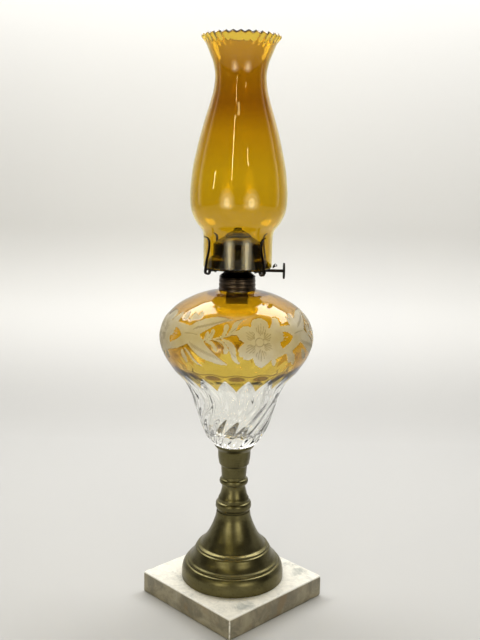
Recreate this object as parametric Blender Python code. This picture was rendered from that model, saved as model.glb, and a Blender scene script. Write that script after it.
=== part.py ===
"""Kerosene table lamp: marble plinth, turned brass pedestal, glass font,
flat-wick burner and crimp-top chimney, each piece a separate closed solid.

Dimensions are in millimetres and are scaled to metres when meshes are made.
+Z is up, the origin is the centre of the plinth's underside, and the plinth's
sides lie along X and Y.
"""
import math
import bpy
import bmesh
from mathutils import Matrix, Vector

for ob in list(bpy.data.objects):
    bpy.data.objects.remove(ob, do_unlink=True)

MM = 0.001
GAP = 0.3                        # clearance between touching pieces

# ---------------------------------------------------------------- dimensions
# plinth
BASE_SIDE, BASE_H, BASE_EDGE = 150.0, 25.0, 1.2
BASE_HOLE_R, BASE_RECESS_R, BASE_RECESS_H = 5.5, 17.0, 10.0
# tie rod, nuts, washer
ROD_R, ROD_BOTTOM, ROD_TOP = 4.0, 1.2, 172.5
NUT_AF, NUT_H = 13.0, 6.0
WASHER_R, WASHER_T = 14.0, 1.6
BORE_R = 4.45
# foot, stem, socket
FOOT_Z0, FOOT_Z1 = BASE_H + GAP, 106.6
FOOT_R, FOOT_WALL = 60.0, 2.4
STEM_Z0, STEM_Z1 = FOOT_Z1 + GAP, 150.0
SOCKET_Z0, SOCKET_Z1 = STEM_Z1 + GAP, 188.3
SOCKET_RIM_R, SOCKET_FLOOR = 23.2, 163.2
# font
PEG_R, PEG_Z0 = 15.2, 176.5
FONT_FOOT_Z = 189.0
FONT_WALL, FONT_WALL_LOW = 3.4, 6.5
NECK_R, NECK_IN_R, NECK_Z0, NECK_Z1 = 18.7, 17.0, 368.2, 379.6
CAVITY_Z0 = 203.0
# collar
COLLAR_Z0, COLLAR_Z1 = 368.8, 382.5
COLLAR_R, COLLAR_SKIRT_IN, COLLAR_BORE, COLLAR_TUBE_R = 20.3, 19.75, 15.95, 16.6
# burner
THREAD_R, THREAD_IN, THREAD_Z0, THREAD_Z1 = 15.5, 14.7, 371.2, 382.4
CONE_R, CONE_Z0 = 20.2, 382.8
BURNER_NECK_R, BURNER_NECK_TOP, SHEET = 14.4, 392.7, 0.7
DECK_R, DECK_Z0, DECK_Z1 = 37.0, 393.2, 394.5
SKIRT_R0, SKIRT_R1, SKIRT_Z0, SKIRT_Z1 = 35.2, 31.6, 394.8, 403.6
DEFL_R, DEFL_Z0, DEFL_Z1 = 27.4, 406.3, 420.0
CAP_R, CAP_Z0, CAP_TOP = 14.6, 429.3, 436.9
SLOT_L, SLOT_W = 26.4, 5.2
# wick and winder
WICK_W, WICK_T, WICK_TOP, WICK_BOTTOM = 24.6, 2.8, 433.6, 352.0
TUBE_CLEAR, TUBE_WALL, TUBE_Z0, TUBE_Z1 = 0.3, 0.5, 373.5, 428.0
SHAFT_R, SHAFT_Z, SPUR_R, SPUR_T = 1.7, 391.5, 4.3, 2.0
SHAFT_OFF = WICK_T / 2 + SPUR_R + GAP
SHAFT_END, SHAFT_START = 50.2, -9.6
WHEEL_POS, WHEEL_R, WHEEL_T, WHEEL_TEETH = 51.5, 8.9, 2.2, 24
KNOB_DIR = 45.0                  # the winder points at the plinth's corner
# spring prongs
PRONG_DIRS = (-95.0, -5.0, 85.0, 175.0)
LOOP_R, LOOP_IN, LOOP_AT, LOOP_Z = 4.4, 2.6, 41.9, 391.6
PRONG_W, PRONG_T = 3.8, 1.1
# chimney
CHIM_Z0, CHIM_Z1, CHIM_FIT_R, CHIM_WALL = 394.9, 640.5, 38.15, 2.2
CRIMPS, CRIMP_H = 24, 2.6

# profile stations, (radius, height) from the table up
FOOT_OUTER = ((60.0, 25.3), (60.0, 31.0), (59.2, 37.5), (57.3, 42.2), (55.0, 44.6), (53.6, 45.0),
              (53.9, 46.3), (50.6, 49.3), (47.6, 53.2), (45.2, 58.0), (43.4, 61.4), (41.6, 62.4),
              (41.9, 63.9), (38.6, 65.6), (34.9, 70.2), (30.3, 76.4), (26.2, 84.4), (22.7, 93.0),
              (20.6, 100.0), (19.6, 106.6))
STEM_OUTER = ((18.7, 106.9), (18.9, 108.6), (20.0, 109.8), (20.9, 112.4), (20.8, 115.4), (19.7, 118.0),
              (18.0, 119.0), (17.9, 121.6), (16.3, 125.4), (14.6, 130.8), (13.7, 136.6), (14.2, 139.4),
              (16.0, 140.6), (16.7, 143.2), (16.0, 145.8), (14.5, 147.0), (14.3, 150.0))
SOCKET_OUTER = ((14.4, 150.3), (14.8, 156.0), (15.4, 162.4), (17.2, 164.2), (18.1, 168.0), (18.9, 175.6),
                (18.9, 180.6), (20.9, 184.0), (23.0, 186.6), (23.2, 188.3))
FONT_OUTER = ((23.8, 189.2), (27.2, 192.6), (32.2, 198.0), (39.0, 212.0), (44.6, 228.0), (49.4, 245.0),
              (53.4, 255.0), (57.1, 262.0), (62.9, 270.0), (70.4, 278.0), (75.9, 286.0), (81.4, 295.0),
              (84.6, 303.0), (87.1, 315.0), (84.8, 327.0), (81.0, 335.6), (74.9, 343.0), (67.3, 350.0),
              (57.6, 356.0), (46.0, 361.4), (33.0, 365.4), (23.4, 367.2), (18.7, 368.2))
CHIM_OUTER = ((38.15, 394.9), (38.15, 410.0), (38.15, 424.0), (38.9, 433.0), (41.1, 437.0), (45.4, 442.0),
              (48.8, 448.0), (51.7, 455.0), (53.2, 463.0), (53.5, 473.0), (51.4, 498.0), (47.1, 520.0),
              (42.2, 540.0), (37.3, 557.0), (32.3, 573.0), (28.6, 588.0), (27.6, 600.0), (29.5, 612.0),
              (34.1, 624.0), (38.4, 634.0), (42.6, 640.5))

# directions of the winder (U) and square to it (V, the side the shaft is on)
U = Vector((math.cos(math.radians(KNOB_DIR)), math.sin(math.radians(KNOB_DIR)), 0.0))
V = Vector((math.sin(math.radians(KNOB_DIR)), -math.cos(math.radians(KNOB_DIR)), 0.0))


# ---------------------------------------------------------------- materials
def material(name, colour, rough, metal, alpha=1.0):
    m = bpy.data.materials.new(name)
    m.use_nodes = True
    b = m.node_tree.nodes["Principled BSDF"]
    b.inputs["Base Color"].default_value = (*colour, 1.0)
    b.inputs["Roughness"].default_value = rough
    b.inputs["Metallic"].default_value = metal
    b.inputs["Alpha"].default_value = alpha
    return m


AGED = (0.17, 0.14, 0.075)
DARK = (0.055, 0.038, 0.022)


# ---------------------------------------------------------------- helpers
def add(name, bm, mat, smooth=True, angle=35.0, origin=None):
    """Turn a bmesh in millimetres into a named object in metres."""
    bmesh.ops.remove_doubles(bm, verts=bm.verts, dist=1e-4)
    bmesh.ops.recalc_face_normals(bm, faces=bm.faces)
    bmesh.ops.scale(bm, vec=(MM, MM, MM), verts=bm.verts)
    at = Vector((0, 0, 0)) if origin is None else Vector(origin) * MM
    bmesh.ops.translate(bm, vec=-at, verts=bm.verts)
    me = bpy.data.meshes.new(name)
    bm.to_mesh(me)
    bm.free()
    if smooth:
        me.shade_smooth()
        me.set_sharp_from_angle(angle=math.radians(angle))
    me.materials.append(mat)
    ob = bpy.data.objects.new(name, me)
    bpy.context.scene.collection.objects.link(ob)
    ob.location = at
    return ob


def spin(profile, n, closed=True):
    """Revolve (radius, height) points about Z with the spin operator."""
    bm = bmesh.new()
    vs = [bm.verts.new((r, 0.0, z)) for r, z in profile]
    es = [bm.edges.new((vs[i], vs[i + 1])) for i in range(len(vs) - 1)]
    if closed:
        es.append(bm.edges.new((vs[-1], vs[0])))
    bmesh.ops.spin(bm, geom=vs + es, cent=(0, 0, 0), axis=(0, 0, 1), dvec=(0, 0, 0),
                   angle=2 * math.pi, steps=n, use_merge=True, use_duplicate=False)
    bmesh.ops.remove_doubles(bm, verts=bm.verts, dist=1e-4)
    return bm


def slopes(x, y):
    """Monotone cubic slopes, so a curve through stations never overshoots."""
    h = [x[i + 1] - x[i] for i in range(len(x) - 1)]
    d = [(y[i + 1] - y[i]) / h[i] for i in range(len(h))]
    m = [d[0]]
    for i in range(1, len(d)):
        if d[i - 1] * d[i] <= 0:
            m.append(0.0)
        else:
            w1, w2 = 2 * h[i] + h[i - 1], h[i] + 2 * h[i - 1]
            m.append((w1 + w2) / (w1 / d[i - 1] + w2 / d[i]))
    m.append(d[-1])
    return m


def smooth_path(stations, count):
    """Evenly spaced points on a smooth curve through (radius, height) stations."""
    s = [0.0]
    for a, b in zip(stations, stations[1:]):
        s.append(s[-1] + math.hypot(b[0] - a[0], b[1] - a[1]))
    rs, zs = [p[0] for p in stations], [p[1] for p in stations]
    mr, mz = slopes(s, rs), slopes(s, zs)
    out = []
    for k in range(count):
        t = s[-1] * k / (count - 1)
        i = max(j for j in range(len(s) - 1) if s[j] <= t + 1e-9)
        h = s[i + 1] - s[i]
        u = min(1.0, (t - s[i]) / h)
        a, b = 2 * u ** 3 - 3 * u ** 2 + 1, u ** 3 - 2 * u ** 2 + u
        c, e = -2 * u ** 3 + 3 * u ** 2, u ** 3 - u ** 2
        out.append((a * rs[i] + b * h * mr[i] + c * rs[i + 1] + e * h * mr[i + 1],
                    a * zs[i] + b * h * mz[i] + c * zs[i + 1] + e * h * mz[i + 1]))
    return out


def offset(path, wall):
    """The same path moved towards the axis by wall(i) along its normal."""
    out = []
    for i, (r, z) in enumerate(path):
        a, b = path[max(i - 1, 0)], path[min(i + 1, len(path) - 1)]
        tx, tz = b[0] - a[0], b[1] - a[1]
        L = math.hypot(tx, tz)
        w = wall(i / (len(path) - 1))
        out.append((r - w * tz / L, z + w * tx / L))
    return out


def cylinder(r, p0, p1, n=24):
    """A solid cylinder between two points."""
    p0, p1 = Vector(p0), Vector(p1)
    d = p1 - p0
    rot = d.to_track_quat('Z', 'Y').to_matrix().to_4x4()
    bm = bmesh.new()
    bmesh.ops.create_cone(bm, cap_ends=True, segments=n, radius1=r, radius2=r, depth=d.length,
                          matrix=Matrix.Translation((p0 + p1) / 2) @ rot)
    return bm


def box(sx, sy, sz, mat4):
    bm = bmesh.new()
    bmesh.ops.create_cube(bm, size=1.0)
    bmesh.ops.scale(bm, vec=(sx, sy, sz), verts=bm.verts)
    bmesh.ops.transform(bm, matrix=mat4, verts=bm.verts)
    return bm


def frame_uv(at, along=U, side=V):
    """Matrix with local X along `along`, local Y along `side` turned to keep Z up."""
    m = Matrix.Identity(4)
    m.col[0][:3] = along
    m.col[1][:3] = -side
    m.col[2][:3] = Vector((0, 0, 1))
    m.translation = Vector(at)
    return m


def extrude_outline(outline, width, mat4):
    """A flat outline in local X-Z, extruded by `width` centred on local Y."""
    bm = bmesh.new()
    vs = [bm.verts.new((x, -width / 2, z)) for x, z in outline]
    f = bm.faces.new(vs)
    g = bmesh.ops.extrude_face_region(bm, geom=[f])
    bmesh.ops.translate(bm, vec=(0, width, 0), verts=[v for v in g["geom"] if isinstance(v, bmesh.types.BMVert)])
    bmesh.ops.transform(bm, matrix=mat4, verts=bm.verts)
    return bm


def cut(ob, name, bm):
    """Boolean difference with a hidden cutter."""
    c = add(name, bm, ob.data.materials[0], smooth=False)
    c.hide_render = True
    c.display_type = 'WIRE'
    md = ob.modifiers.new(name, 'BOOLEAN')
    md.operation, md.solver, md.object = 'DIFFERENCE', 'EXACT', c
    return c


# ---------------------------------------------------------------- plinth
marble = material("white_marble", (0.82, 0.80, 0.76), 0.35, 0.0)
bm = bmesh.new()
bmesh.ops.create_cube(bm, size=1.0)
bmesh.ops.scale(bm, vec=(BASE_SIDE, BASE_SIDE, BASE_H), verts=bm.verts)
bmesh.ops.translate(bm, vec=(0, 0, BASE_H / 2), verts=bm.verts)
bmesh.ops.bevel(bm, geom=list(bm.edges), offset=BASE_EDGE, segments=1, affect='EDGES')
base = add("marble_base", bm, marble, smooth=False)
cut(base, "cut_base_hole", cylinder(BASE_HOLE_R, (0, 0, -2), (0, 0, BASE_H + 2), 24))
cut(base, "cut_base_recess", cylinder(BASE_RECESS_R, (0, 0, -2), (0, 0, BASE_RECESS_H), 32))

# ---------------------------------------------------------------- rod, washer, nuts
steel = material("dull_steel", (0.32, 0.31, 0.29), 0.45, 1.0)
add("tie_rod", cylinder(ROD_R, (0, 0, ROD_BOTTOM), (0, 0, ROD_TOP), 24), steel)


def ring(r_out, r_in, z0, z1, n):
    return [(r_out, z0), (r_out, z1), (r_in, z1), (r_in, z0)], n


WASHER_Z1 = BASE_RECESS_H - GAP
prof, n = ring(WASHER_R, BORE_R, WASHER_Z1 - WASHER_T, WASHER_Z1, 28)
add("base_washer", spin(prof, n), steel)


def nut(name, z0):
    """Hexagon nut with a plain bore."""
    bm = bmesh.new()
    ring_o = [bm.verts.new((NUT_AF / math.sqrt(3) * math.cos(math.pi * k / 3),
                            NUT_AF / math.sqrt(3) * math.sin(math.pi * k / 3), z0)) for k in range(6)]
    f = bm.faces.new(ring_o)
    g = bmesh.ops.extrude_face_region(bm, geom=[f])
    bmesh.ops.translate(bm, vec=(0, 0, NUT_H), verts=[v for v in g["geom"] if isinstance(v, bmesh.types.BMVert)])
    ob = add(name, bm, steel, smooth=False)
    cut(ob, "cut_" + name, cylinder(BORE_R, (0, 0, z0 - 2), (0, 0, z0 + NUT_H + 2), 24))
    return ob


nut("base_nut", WASHER_Z1 - WASHER_T - GAP - NUT_H)
nut("socket_nut", SOCKET_FLOOR + GAP)

# ---------------------------------------------------------------- foot, stem, socket
foot_in = offset(smooth_path([p for i, p in enumerate(FOOT_OUTER) if i in (0, 2, 4, 8, 13, 15, 17)], 9),
                 lambda t: FOOT_WALL + 0.6)
foot_prof = list(FOOT_OUTER) + [(BORE_R, FOOT_Z1), (BORE_R, FOOT_Z1 - 4.0)] + \
    [(14.0, FOOT_Z1 - 4.0)] + foot_in[::-1][:-1] + [(FOOT_R - FOOT_WALL, FOOT_Z0)]
add("foot_bell", spin(foot_prof, 32), material("brass_foot", AGED, 0.36, 1.0))

stem_prof = list(STEM_OUTER) + [(BORE_R, STEM_Z1), (BORE_R, STEM_Z1 - 4), (10.5, STEM_Z1 - 6),
                                (10.5, STEM_Z0 + 6), (BORE_R, STEM_Z0 + 4), (BORE_R, STEM_Z0)]
add("stem", spin(stem_prof, 24), material("brass_stem", AGED, 0.36, 1.0))

socket_prof = list(SOCKET_OUTER) + [(SOCKET_RIM_R - 1.2, SOCKET_Z1), (20.0, 184.8), (17.6, 181.4),
                                    (17.4, 175.4), (16.6, 168.0), (15.6, 165.4), (12.5, SOCKET_FLOOR),
                                    (BORE_R, SOCKET_FLOOR), (BORE_R, SOCKET_Z0 + 8), (11.0, SOCKET_Z0 + 7),
                                    (11.6, SOCKET_Z0)]
add("font_socket", spin(socket_prof, 24), material("brass_socket", AGED, 0.36, 1.0))

plaster = material("plaster", (0.72, 0.69, 0.62), 0.9, 0.0)
nut_top = SOCKET_FLOOR + GAP + NUT_H
add("socket_plaster", spin([(9.0, nut_top + 0.6), (15.9, nut_top - 1.0), (16.9, 175.2), (17.2, 181.3),
                            (19.2, 184.6), (20.7, 187.0), (20.3, 187.3), (17.8, 186.3), (PEG_R + GAP, 184.6),
                            (PEG_R + GAP, PEG_Z0 - GAP), (5.0, PEG_Z0 - GAP), (5.0, ROD_TOP + 0.6)], 28), plaster)

# ---------------------------------------------------------------- font
font_out = smooth_path(FONT_OUTER, 20)


def font_wall(t):
    """Thick at the foot, thinning towards the shoulder."""
    return FONT_WALL_LOW + (FONT_WALL - FONT_WALL_LOW) * min(1.0, t / 0.45)


font_in = [p for p in offset(font_out, font_wall)[1:-2] if p[0] > NECK_IN_R + 0.6 and p[1] > CAVITY_Z0 + 5]
font_prof = [(0.0, PEG_Z0), (PEG_R - 1.5, PEG_Z0), (PEG_R, PEG_Z0 + 1.5), (PEG_R, 184.9), (18.2, 187.0)] + \
    font_out + [(NECK_R, NECK_Z1), (NECK_IN_R, NECK_Z1), (NECK_IN_R, NECK_Z0 - 3.4)] + \
    font_in[::-1] + [(font_in[0][0] * 0.62, CAVITY_Z0 + 1.2), (0.0, CAVITY_Z0)]
add("font", spin(font_prof, 42, closed=False), material("font_glass", (0.62, 0.40, 0.06), 0.1, 0.0, 0.5))

# ---------------------------------------------------------------- collar and its cement
collar_prof = [(20.7, COLLAR_Z0), (20.7, 371.6), (20.0, 372.2), (20.5, 373.2), (20.5, 375.9), (19.95, 376.6),
               (20.4, 377.4), (20.4, 380.2), (19.9, 381.0), (20.0, COLLAR_Z1), (COLLAR_BORE, COLLAR_Z1),
               (COLLAR_BORE, 372.2), (COLLAR_TUBE_R, 372.2), (COLLAR_TUBE_R, 381.6), (COLLAR_SKIRT_IN - 0.5, 381.6),
               (COLLAR_SKIRT_IN - 0.5, COLLAR_Z0)]
add("collar", spin(collar_prof, 28), material("brass_collar", DARK, 0.4, 1.0))
add("collar_cement", spin([(NECK_IN_R, 380.0), (18.95, 380.0), (18.95, 381.3), (NECK_IN_R, 381.3)], 36), plaster)

# ---------------------------------------------------------------- burner body
burner = material("brass_burner", DARK, 0.42, 1.0)
add("burner_thread", spin(ring(THREAD_R, THREAD_IN, THREAD_Z0, THREAD_Z1, 36)[0], 36),
    material("brass_thread", (0.30, 0.22, 0.09), 0.4, 1.0))
cone_prof = [(CONE_R, CONE_Z0), (CONE_R, CONE_Z0 + 1.0), (BURNER_NECK_R + 0.3, 388.6), (BURNER_NECK_R, BURNER_NECK_TOP),
             (BURNER_NECK_R - SHEET, BURNER_NECK_TOP), (BURNER_NECK_R - SHEET + 0.2, 388.2),
             (CONE_R - 1.4, CONE_Z0 + 0.8), (CONE_R - 1.4, CONE_Z0)]
cone = add("burner_cone", spin(cone_prof, 28), burner)
shaft_a = V * SHAFT_OFF + Vector((0, 0, SHAFT_Z))
cut(cone, "cut_cone_shaft", cylinder(SHAFT_R + 0.5, shaft_a, shaft_a + U * 30, 16))

deck = add("gallery_deck", spin(ring(DECK_R, BURNER_NECK_R - 0.6, DECK_Z0, DECK_Z1, 40)[0], 40), burner)
bm = bmesh.new()
HOLES = 8
for k in range(HOLES):
    a = 2 * math.pi * (k + 0.5) / HOLES
    bmesh.ops.create_cone(bm, cap_ends=True, segments=8, radius1=3.6, radius2=3.2, depth=6,
                          matrix=Matrix.Translation((24.6 * math.cos(a), 24.6 * math.sin(a), (DECK_Z0 + DECK_Z1) / 2)))
cut(deck, "cut_deck_holes", bm)

add("air_skirt", spin([(SKIRT_R0, SKIRT_Z0), (SKIRT_R1, SKIRT_Z1 - 0.6), (SKIRT_R1 - 1.0, SKIRT_Z1 + 0.5),
                       (DEFL_R + 0.2, DEFL_Z0 - GAP), (DEFL_R - 0.9, DEFL_Z0 - GAP), (SKIRT_R1 - 1.8, SKIRT_Z1 - 0.5),
                       (SKIRT_R0 - 1.0, SKIRT_Z0)], 40), burner)

# deflector: round wall, drawn in to the cap; steeper front and back than at the ends of the slot
SHOULDER = 5
bm = bmesh.new()


def defl_ring(z, r_end, r_broad, n=32):
    """One ring whose radius differs along the slot (r_end) and across it (r_broad)."""
    out = []
    for k in range(n):
        a = 2 * math.pi * k / n
        w = math.cos(a) ** 2
        r = r_end * w + r_broad * (1 - w)
        out.append(bm.verts.new(U * (r * math.cos(a)) + V * (r * math.sin(a)) + Vector((0, 0, z))))
    return out


def defl_rows(t):
    rows = [(DEFL_Z0, DEFL_R - t, DEFL_R - t)]
    for k in range(SHOULDER + 1):
        u = k / SHOULDER
        z = DEFL_Z1 + (CAP_Z0 - 0.9 - DEFL_Z1) * u - t * 0.7 * (k > 0)
        r_end = DEFL_R + (CAP_R + 0.4 - DEFL_R) * u
        r_broad = DEFL_R + (CAP_R + 3.0 - DEFL_R) * u ** 3
        if k == SHOULDER:
            r_end = r_broad = CAP_R - 0.2
            z += 0.25
        rows.append((z, r_end - t, r_broad - t))
    return rows


rings = [defl_ring(*row) for row in defl_rows(0.0)]
rings += [defl_ring(*row) for row in defl_rows(0.8)[::-1]]
rings.append(rings[0])
for ra, rb in zip(rings, rings[1:]):
    for k in range(len(ra)):
        j = (k + 1) % len(ra)
        bm.faces.new((ra[k], ra[j], rb[j], rb[k]))
add("deflector", bm, burner)

cap_prof = [(CAP_R, CAP_Z0), (CAP_R, CAP_Z0 + 1.3), (13.0, 431.0), (11.2, 433.0), (8.4, 435.0), (4.4, 436.5), (0.0, CAP_TOP),
            (0.0, CAP_TOP - 0.8), (4.2, 435.7), (7.8, 434.3), (10.4, 432.4), (12.0, 430.7), (12.6, CAP_Z0)]
cap = add("deflector_cap", spin(cap_prof, 24, closed=True), burner)
cut(cap, "cut_cap_slot", box(SLOT_L, SLOT_W, 30, frame_uv((0, 0, 440))))

# ---------------------------------------------------------------- wick tube, wick
ti, to = WICK_T / 2 + TUBE_CLEAR, WICK_T / 2 + TUBE_CLEAR + TUBE_WALL
wi, wo = WICK_W / 2 + TUBE_CLEAR, WICK_W / 2 + TUBE_CLEAR + TUBE_WALL
zc, zh = (TUBE_Z0 + TUBE_Z1) / 2, TUBE_Z1 - TUBE_Z0
tube = add("wick_tube", box(2 * wo, 2 * to, zh, frame_uv((0, 0, zc))), burner, smooth=False)
cut(tube, "cut_tube_inside", box(2 * wi, 2 * ti, zh + 4, frame_uv((0, 0, zc))))
SPUR_AT = (-5.8, 5.8)
for k, s in enumerate(SPUR_AT):
    cut(tube, "cut_tube_window_%d" % k,
        box(SPUR_T + 1.2, 3.0, 2 * SPUR_R + 1.6, frame_uv(U * s + V * (to + 0.2) + Vector((0, 0, SHAFT_Z)))))
add("wick", box(WICK_W, WICK_T, WICK_TOP - WICK_BOTTOM, frame_uv((0, 0, (WICK_TOP + WICK_BOTTOM) / 2))),
    material("wick_cotton", (0.75, 0.70, 0.58), 0.95, 0.0), smooth=False)

# ---------------------------------------------------------------- winder
def on_shaft(s):
    return V * SHAFT_OFF + U * s + Vector((0, 0, SHAFT_Z))


def axle_disc(r0, r1, t, s, teeth=0, bore=SHAFT_R + 0.05 + GAP, hub=0.0):
    """A disc on the shaft's axis, plain or toothed, with a bore."""
    bm = bmesh.new()
    n = teeth * 2 if teeth else 28
    rows = []
    for x in (-t / 2, t / 2):
        rows.append([bm.verts.new((x, (r1 if k % 2 else r0) * math.cos(2 * math.pi * k / n),
                                   (r1 if k % 2 else r0) * math.sin(2 * math.pi * k / n))) for k in range(n)])
        rows.append([bm.verts.new((x, bore * math.cos(2 * math.pi * k / n),
                                   bore * math.sin(2 * math.pi * k / n))) for k in range(n)])
    a, b, c, d = rows
    for k in range(n):
        j = (k + 1) % n
        bm.faces.new((a[k], a[j], c[j], c[k]))
        bm.faces.new((b[k], b[j], d[j], d[k]))
        bm.faces.new((a[k], a[j], b[j], b[k]))
        bm.faces.new((c[k], c[j], d[j], d[k]))
    bmesh.ops.transform(bm, matrix=frame_uv(on_shaft(s)), verts=bm.verts)
    return bm


winder = material("brass_winder", (0.06, 0.05, 0.035), 0.45, 1.0)
origin = tuple(on_shaft(0))
add("wick_shaft", cylinder(SHAFT_R, on_shaft(SHAFT_START), on_shaft(SHAFT_END + 2.6), 20), winder, origin=origin)
for k, s in enumerate(SPUR_AT):
    add("spur_wheel_%d" % (k + 1), axle_disc(SPUR_R, SPUR_R - 1.0, SPUR_T, s, teeth=12), winder, origin=origin)
add("thumbwheel", axle_disc(WHEEL_R, WHEEL_R - 0.45, WHEEL_T, WHEEL_POS, teeth=WHEEL_TEETH), winder, origin=origin)

# bearing bracket under the deck's edge, with its upturned ear outside
bracket = add("shaft_bracket", extrude_outline(
    [(30.0, 388.4), (31.6, 388.4), (31.6, DECK_Z0 - 0.35), (30.0, DECK_Z0 - 0.35)], 9.0, frame_uv(V * SHAFT_OFF)), winder,
    smooth=False)
cut(bracket, "cut_bracket", cylinder(SHAFT_R + 0.35, on_shaft(25), on_shaft(40), 20))
add("gallery_lug", extrude_outline(
    [(38.9, 394.2), (42.4, 396.6), (44.0, 396.4), (43.6, 398.4), (41.4, 399.4), (38.9, 396.6)], 4.0,
    frame_uv(V * SHAFT_OFF)), winder, smooth=False)
cut(bpy.data.objects["gallery_lug"], "cut_lug_eye", cylinder(0.9, on_shaft(42.2) + V * 4 + Vector((0, 0, 6.4)),
                                                            on_shaft(42.2) - V * 4 + Vector((0, 0, 6.4)), 12))

# ---------------------------------------------------------------- prongs
PRONG_PATH = ((46.3 - PRONG_T / 2, LOOP_Z), (45.2, 397.5), (42.9, 405.0), (40.8, 413.0), (39.7, 420.0),
              (39.9, 424.5), (41.4, 427.6), (44.0, 429.4), (46.6, 430.2))


def prong_outline():
    """Side view of one prong: an open coil at the foot and a strip with a turned-out tip."""
    n = 20
    path = smooth_path(PRONG_PATH, 12)
    right = offset(path, lambda t: -PRONG_T / 2)
    left = offset(path, lambda t: PRONG_T / 2)
    return [left, right]


for k, deg in enumerate(PRONG_DIRS):
    er = Vector((math.cos(math.radians(deg)), math.sin(math.radians(deg)), 0))
    et = Vector((er.y, -er.x, 0))
    loop_c = er * LOOP_AT + Vector((0, 0, LOOP_Z))
    m = frame_uv((0, 0, 0), along=er, side=et)
    left, right = prong_outline()
    # strip outline joined to the loop's rim: the strip starts inside the loop's ring
    bm = bmesh.new()
    n = 20
    ring_a, ring_b = [], []
    for i in range(n):
        a = 2 * math.pi * i / n
        ring_a.append((LOOP_AT + LOOP_R * math.cos(a), LOOP_Z + LOOP_R * math.sin(a)))
        ring_b.append((LOOP_AT + LOOP_IN * math.cos(a), LOOP_Z + LOOP_IN * math.sin(a)))
    rows = []
    for y in (-PRONG_W / 2, PRONG_W / 2):
        rows.append([bm.verts.new((x, y, z)) for x, z in ring_a])
        rows.append([bm.verts.new((x, y, z)) for x, z in ring_b])
    a_, b_, c_, d_ = rows
    for i in range(n):
        j = (i + 1) % n
        bm.faces.new((a_[i], a_[j], c_[j], c_[i]))
        bm.faces.new((b_[i], b_[j], d_[j], d_[i]))
        bm.faces.new((a_[i], a_[j], b_[j], b_[i]))
        bm.faces.new((c_[i], c_[j], d_[j], d_[i]))
    bmesh.ops.transform(bm, matrix=m, verts=bm.verts)
    mat_p = material("brass_prong_%d" % (k + 1), DARK, 0.42, 1.0)
    prong = add("prong_%d" % (k + 1), bm, mat_p, origin=tuple(loop_c))
    strip = add("prong_strip_%d" % (k + 1), extrude_outline(left + right[::-1], PRONG_W - 0.02, m), mat_p, smooth=False)
    strip.hide_render = True
    strip.display_type = 'WIRE'
    md = prong.modifiers.new("strip", 'BOOLEAN')
    md.operation, md.solver, md.object = 'UNION', 'EXACT', strip
    # fixed tail under the deck and the rivet that holds it
    add("prong_tail_%d" % (k + 1), extrude_outline(
        [(28.0, 391.9), (LOOP_AT - LOOP_R - GAP - 0.15, 391.9), (LOOP_AT - LOOP_R - GAP - 0.15, DECK_Z0 - GAP),
         (28.0, DECK_Z0 - GAP)], PRONG_W, m), mat_p, smooth=False)
    p = er * 31.0
    add("prong_rivet_%d" % (k + 1), cylinder(1.3, p + Vector((0, 0, 390.7)), p + Vector((0, 0, 391.6)), 14), mat_p)

# ---------------------------------------------------------------- chimney
chim_out = smooth_path(CHIM_OUTER, 21)
chim_in = offset(chim_out, lambda t: CHIM_WALL)
chim_in[0] = (CHIM_FIT_R - CHIM_WALL, CHIM_Z0)
bm = spin(chim_out + chim_in[::-1], 2 * CRIMPS)
for v in bm.verts:
    if v.co.z > 618.0:
        k = round(math.atan2(v.co.y, v.co.x) / (math.pi / CRIMPS)) % 2
        w = min(1.0, (v.co.z - 618.0) / (CHIM_Z1 - 618.0)) ** 2
        v.co.z -= w * CRIMP_H * k
        r = math.hypot(v.co.x, v.co.y)
        q = (r + w * (0.4 if k else -0.4)) / r
        v.co.x *= q
        v.co.y *= q
add("chimney", bm, material("chimney_glass", (0.70, 0.46, 0.06), 0.08, 0.0, 0.45))
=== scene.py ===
"""Looks of the kerosene table lamp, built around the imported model."""
import math
import bpy
import bmesh
import numpy as np
from mathutils import Matrix, Vector


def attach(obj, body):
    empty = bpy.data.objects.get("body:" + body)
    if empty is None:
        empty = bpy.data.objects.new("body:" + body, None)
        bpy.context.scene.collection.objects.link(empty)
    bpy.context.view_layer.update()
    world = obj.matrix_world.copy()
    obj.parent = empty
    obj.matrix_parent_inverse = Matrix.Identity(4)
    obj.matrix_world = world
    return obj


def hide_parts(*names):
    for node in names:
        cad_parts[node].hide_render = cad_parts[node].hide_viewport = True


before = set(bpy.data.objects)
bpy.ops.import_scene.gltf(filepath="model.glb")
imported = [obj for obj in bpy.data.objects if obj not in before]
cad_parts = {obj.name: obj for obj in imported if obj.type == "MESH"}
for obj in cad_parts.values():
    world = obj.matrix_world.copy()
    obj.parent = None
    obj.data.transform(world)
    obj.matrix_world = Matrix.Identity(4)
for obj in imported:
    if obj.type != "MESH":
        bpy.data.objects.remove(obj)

MM = 0.001
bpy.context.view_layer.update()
coll = bpy.context.scene.collection

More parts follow.
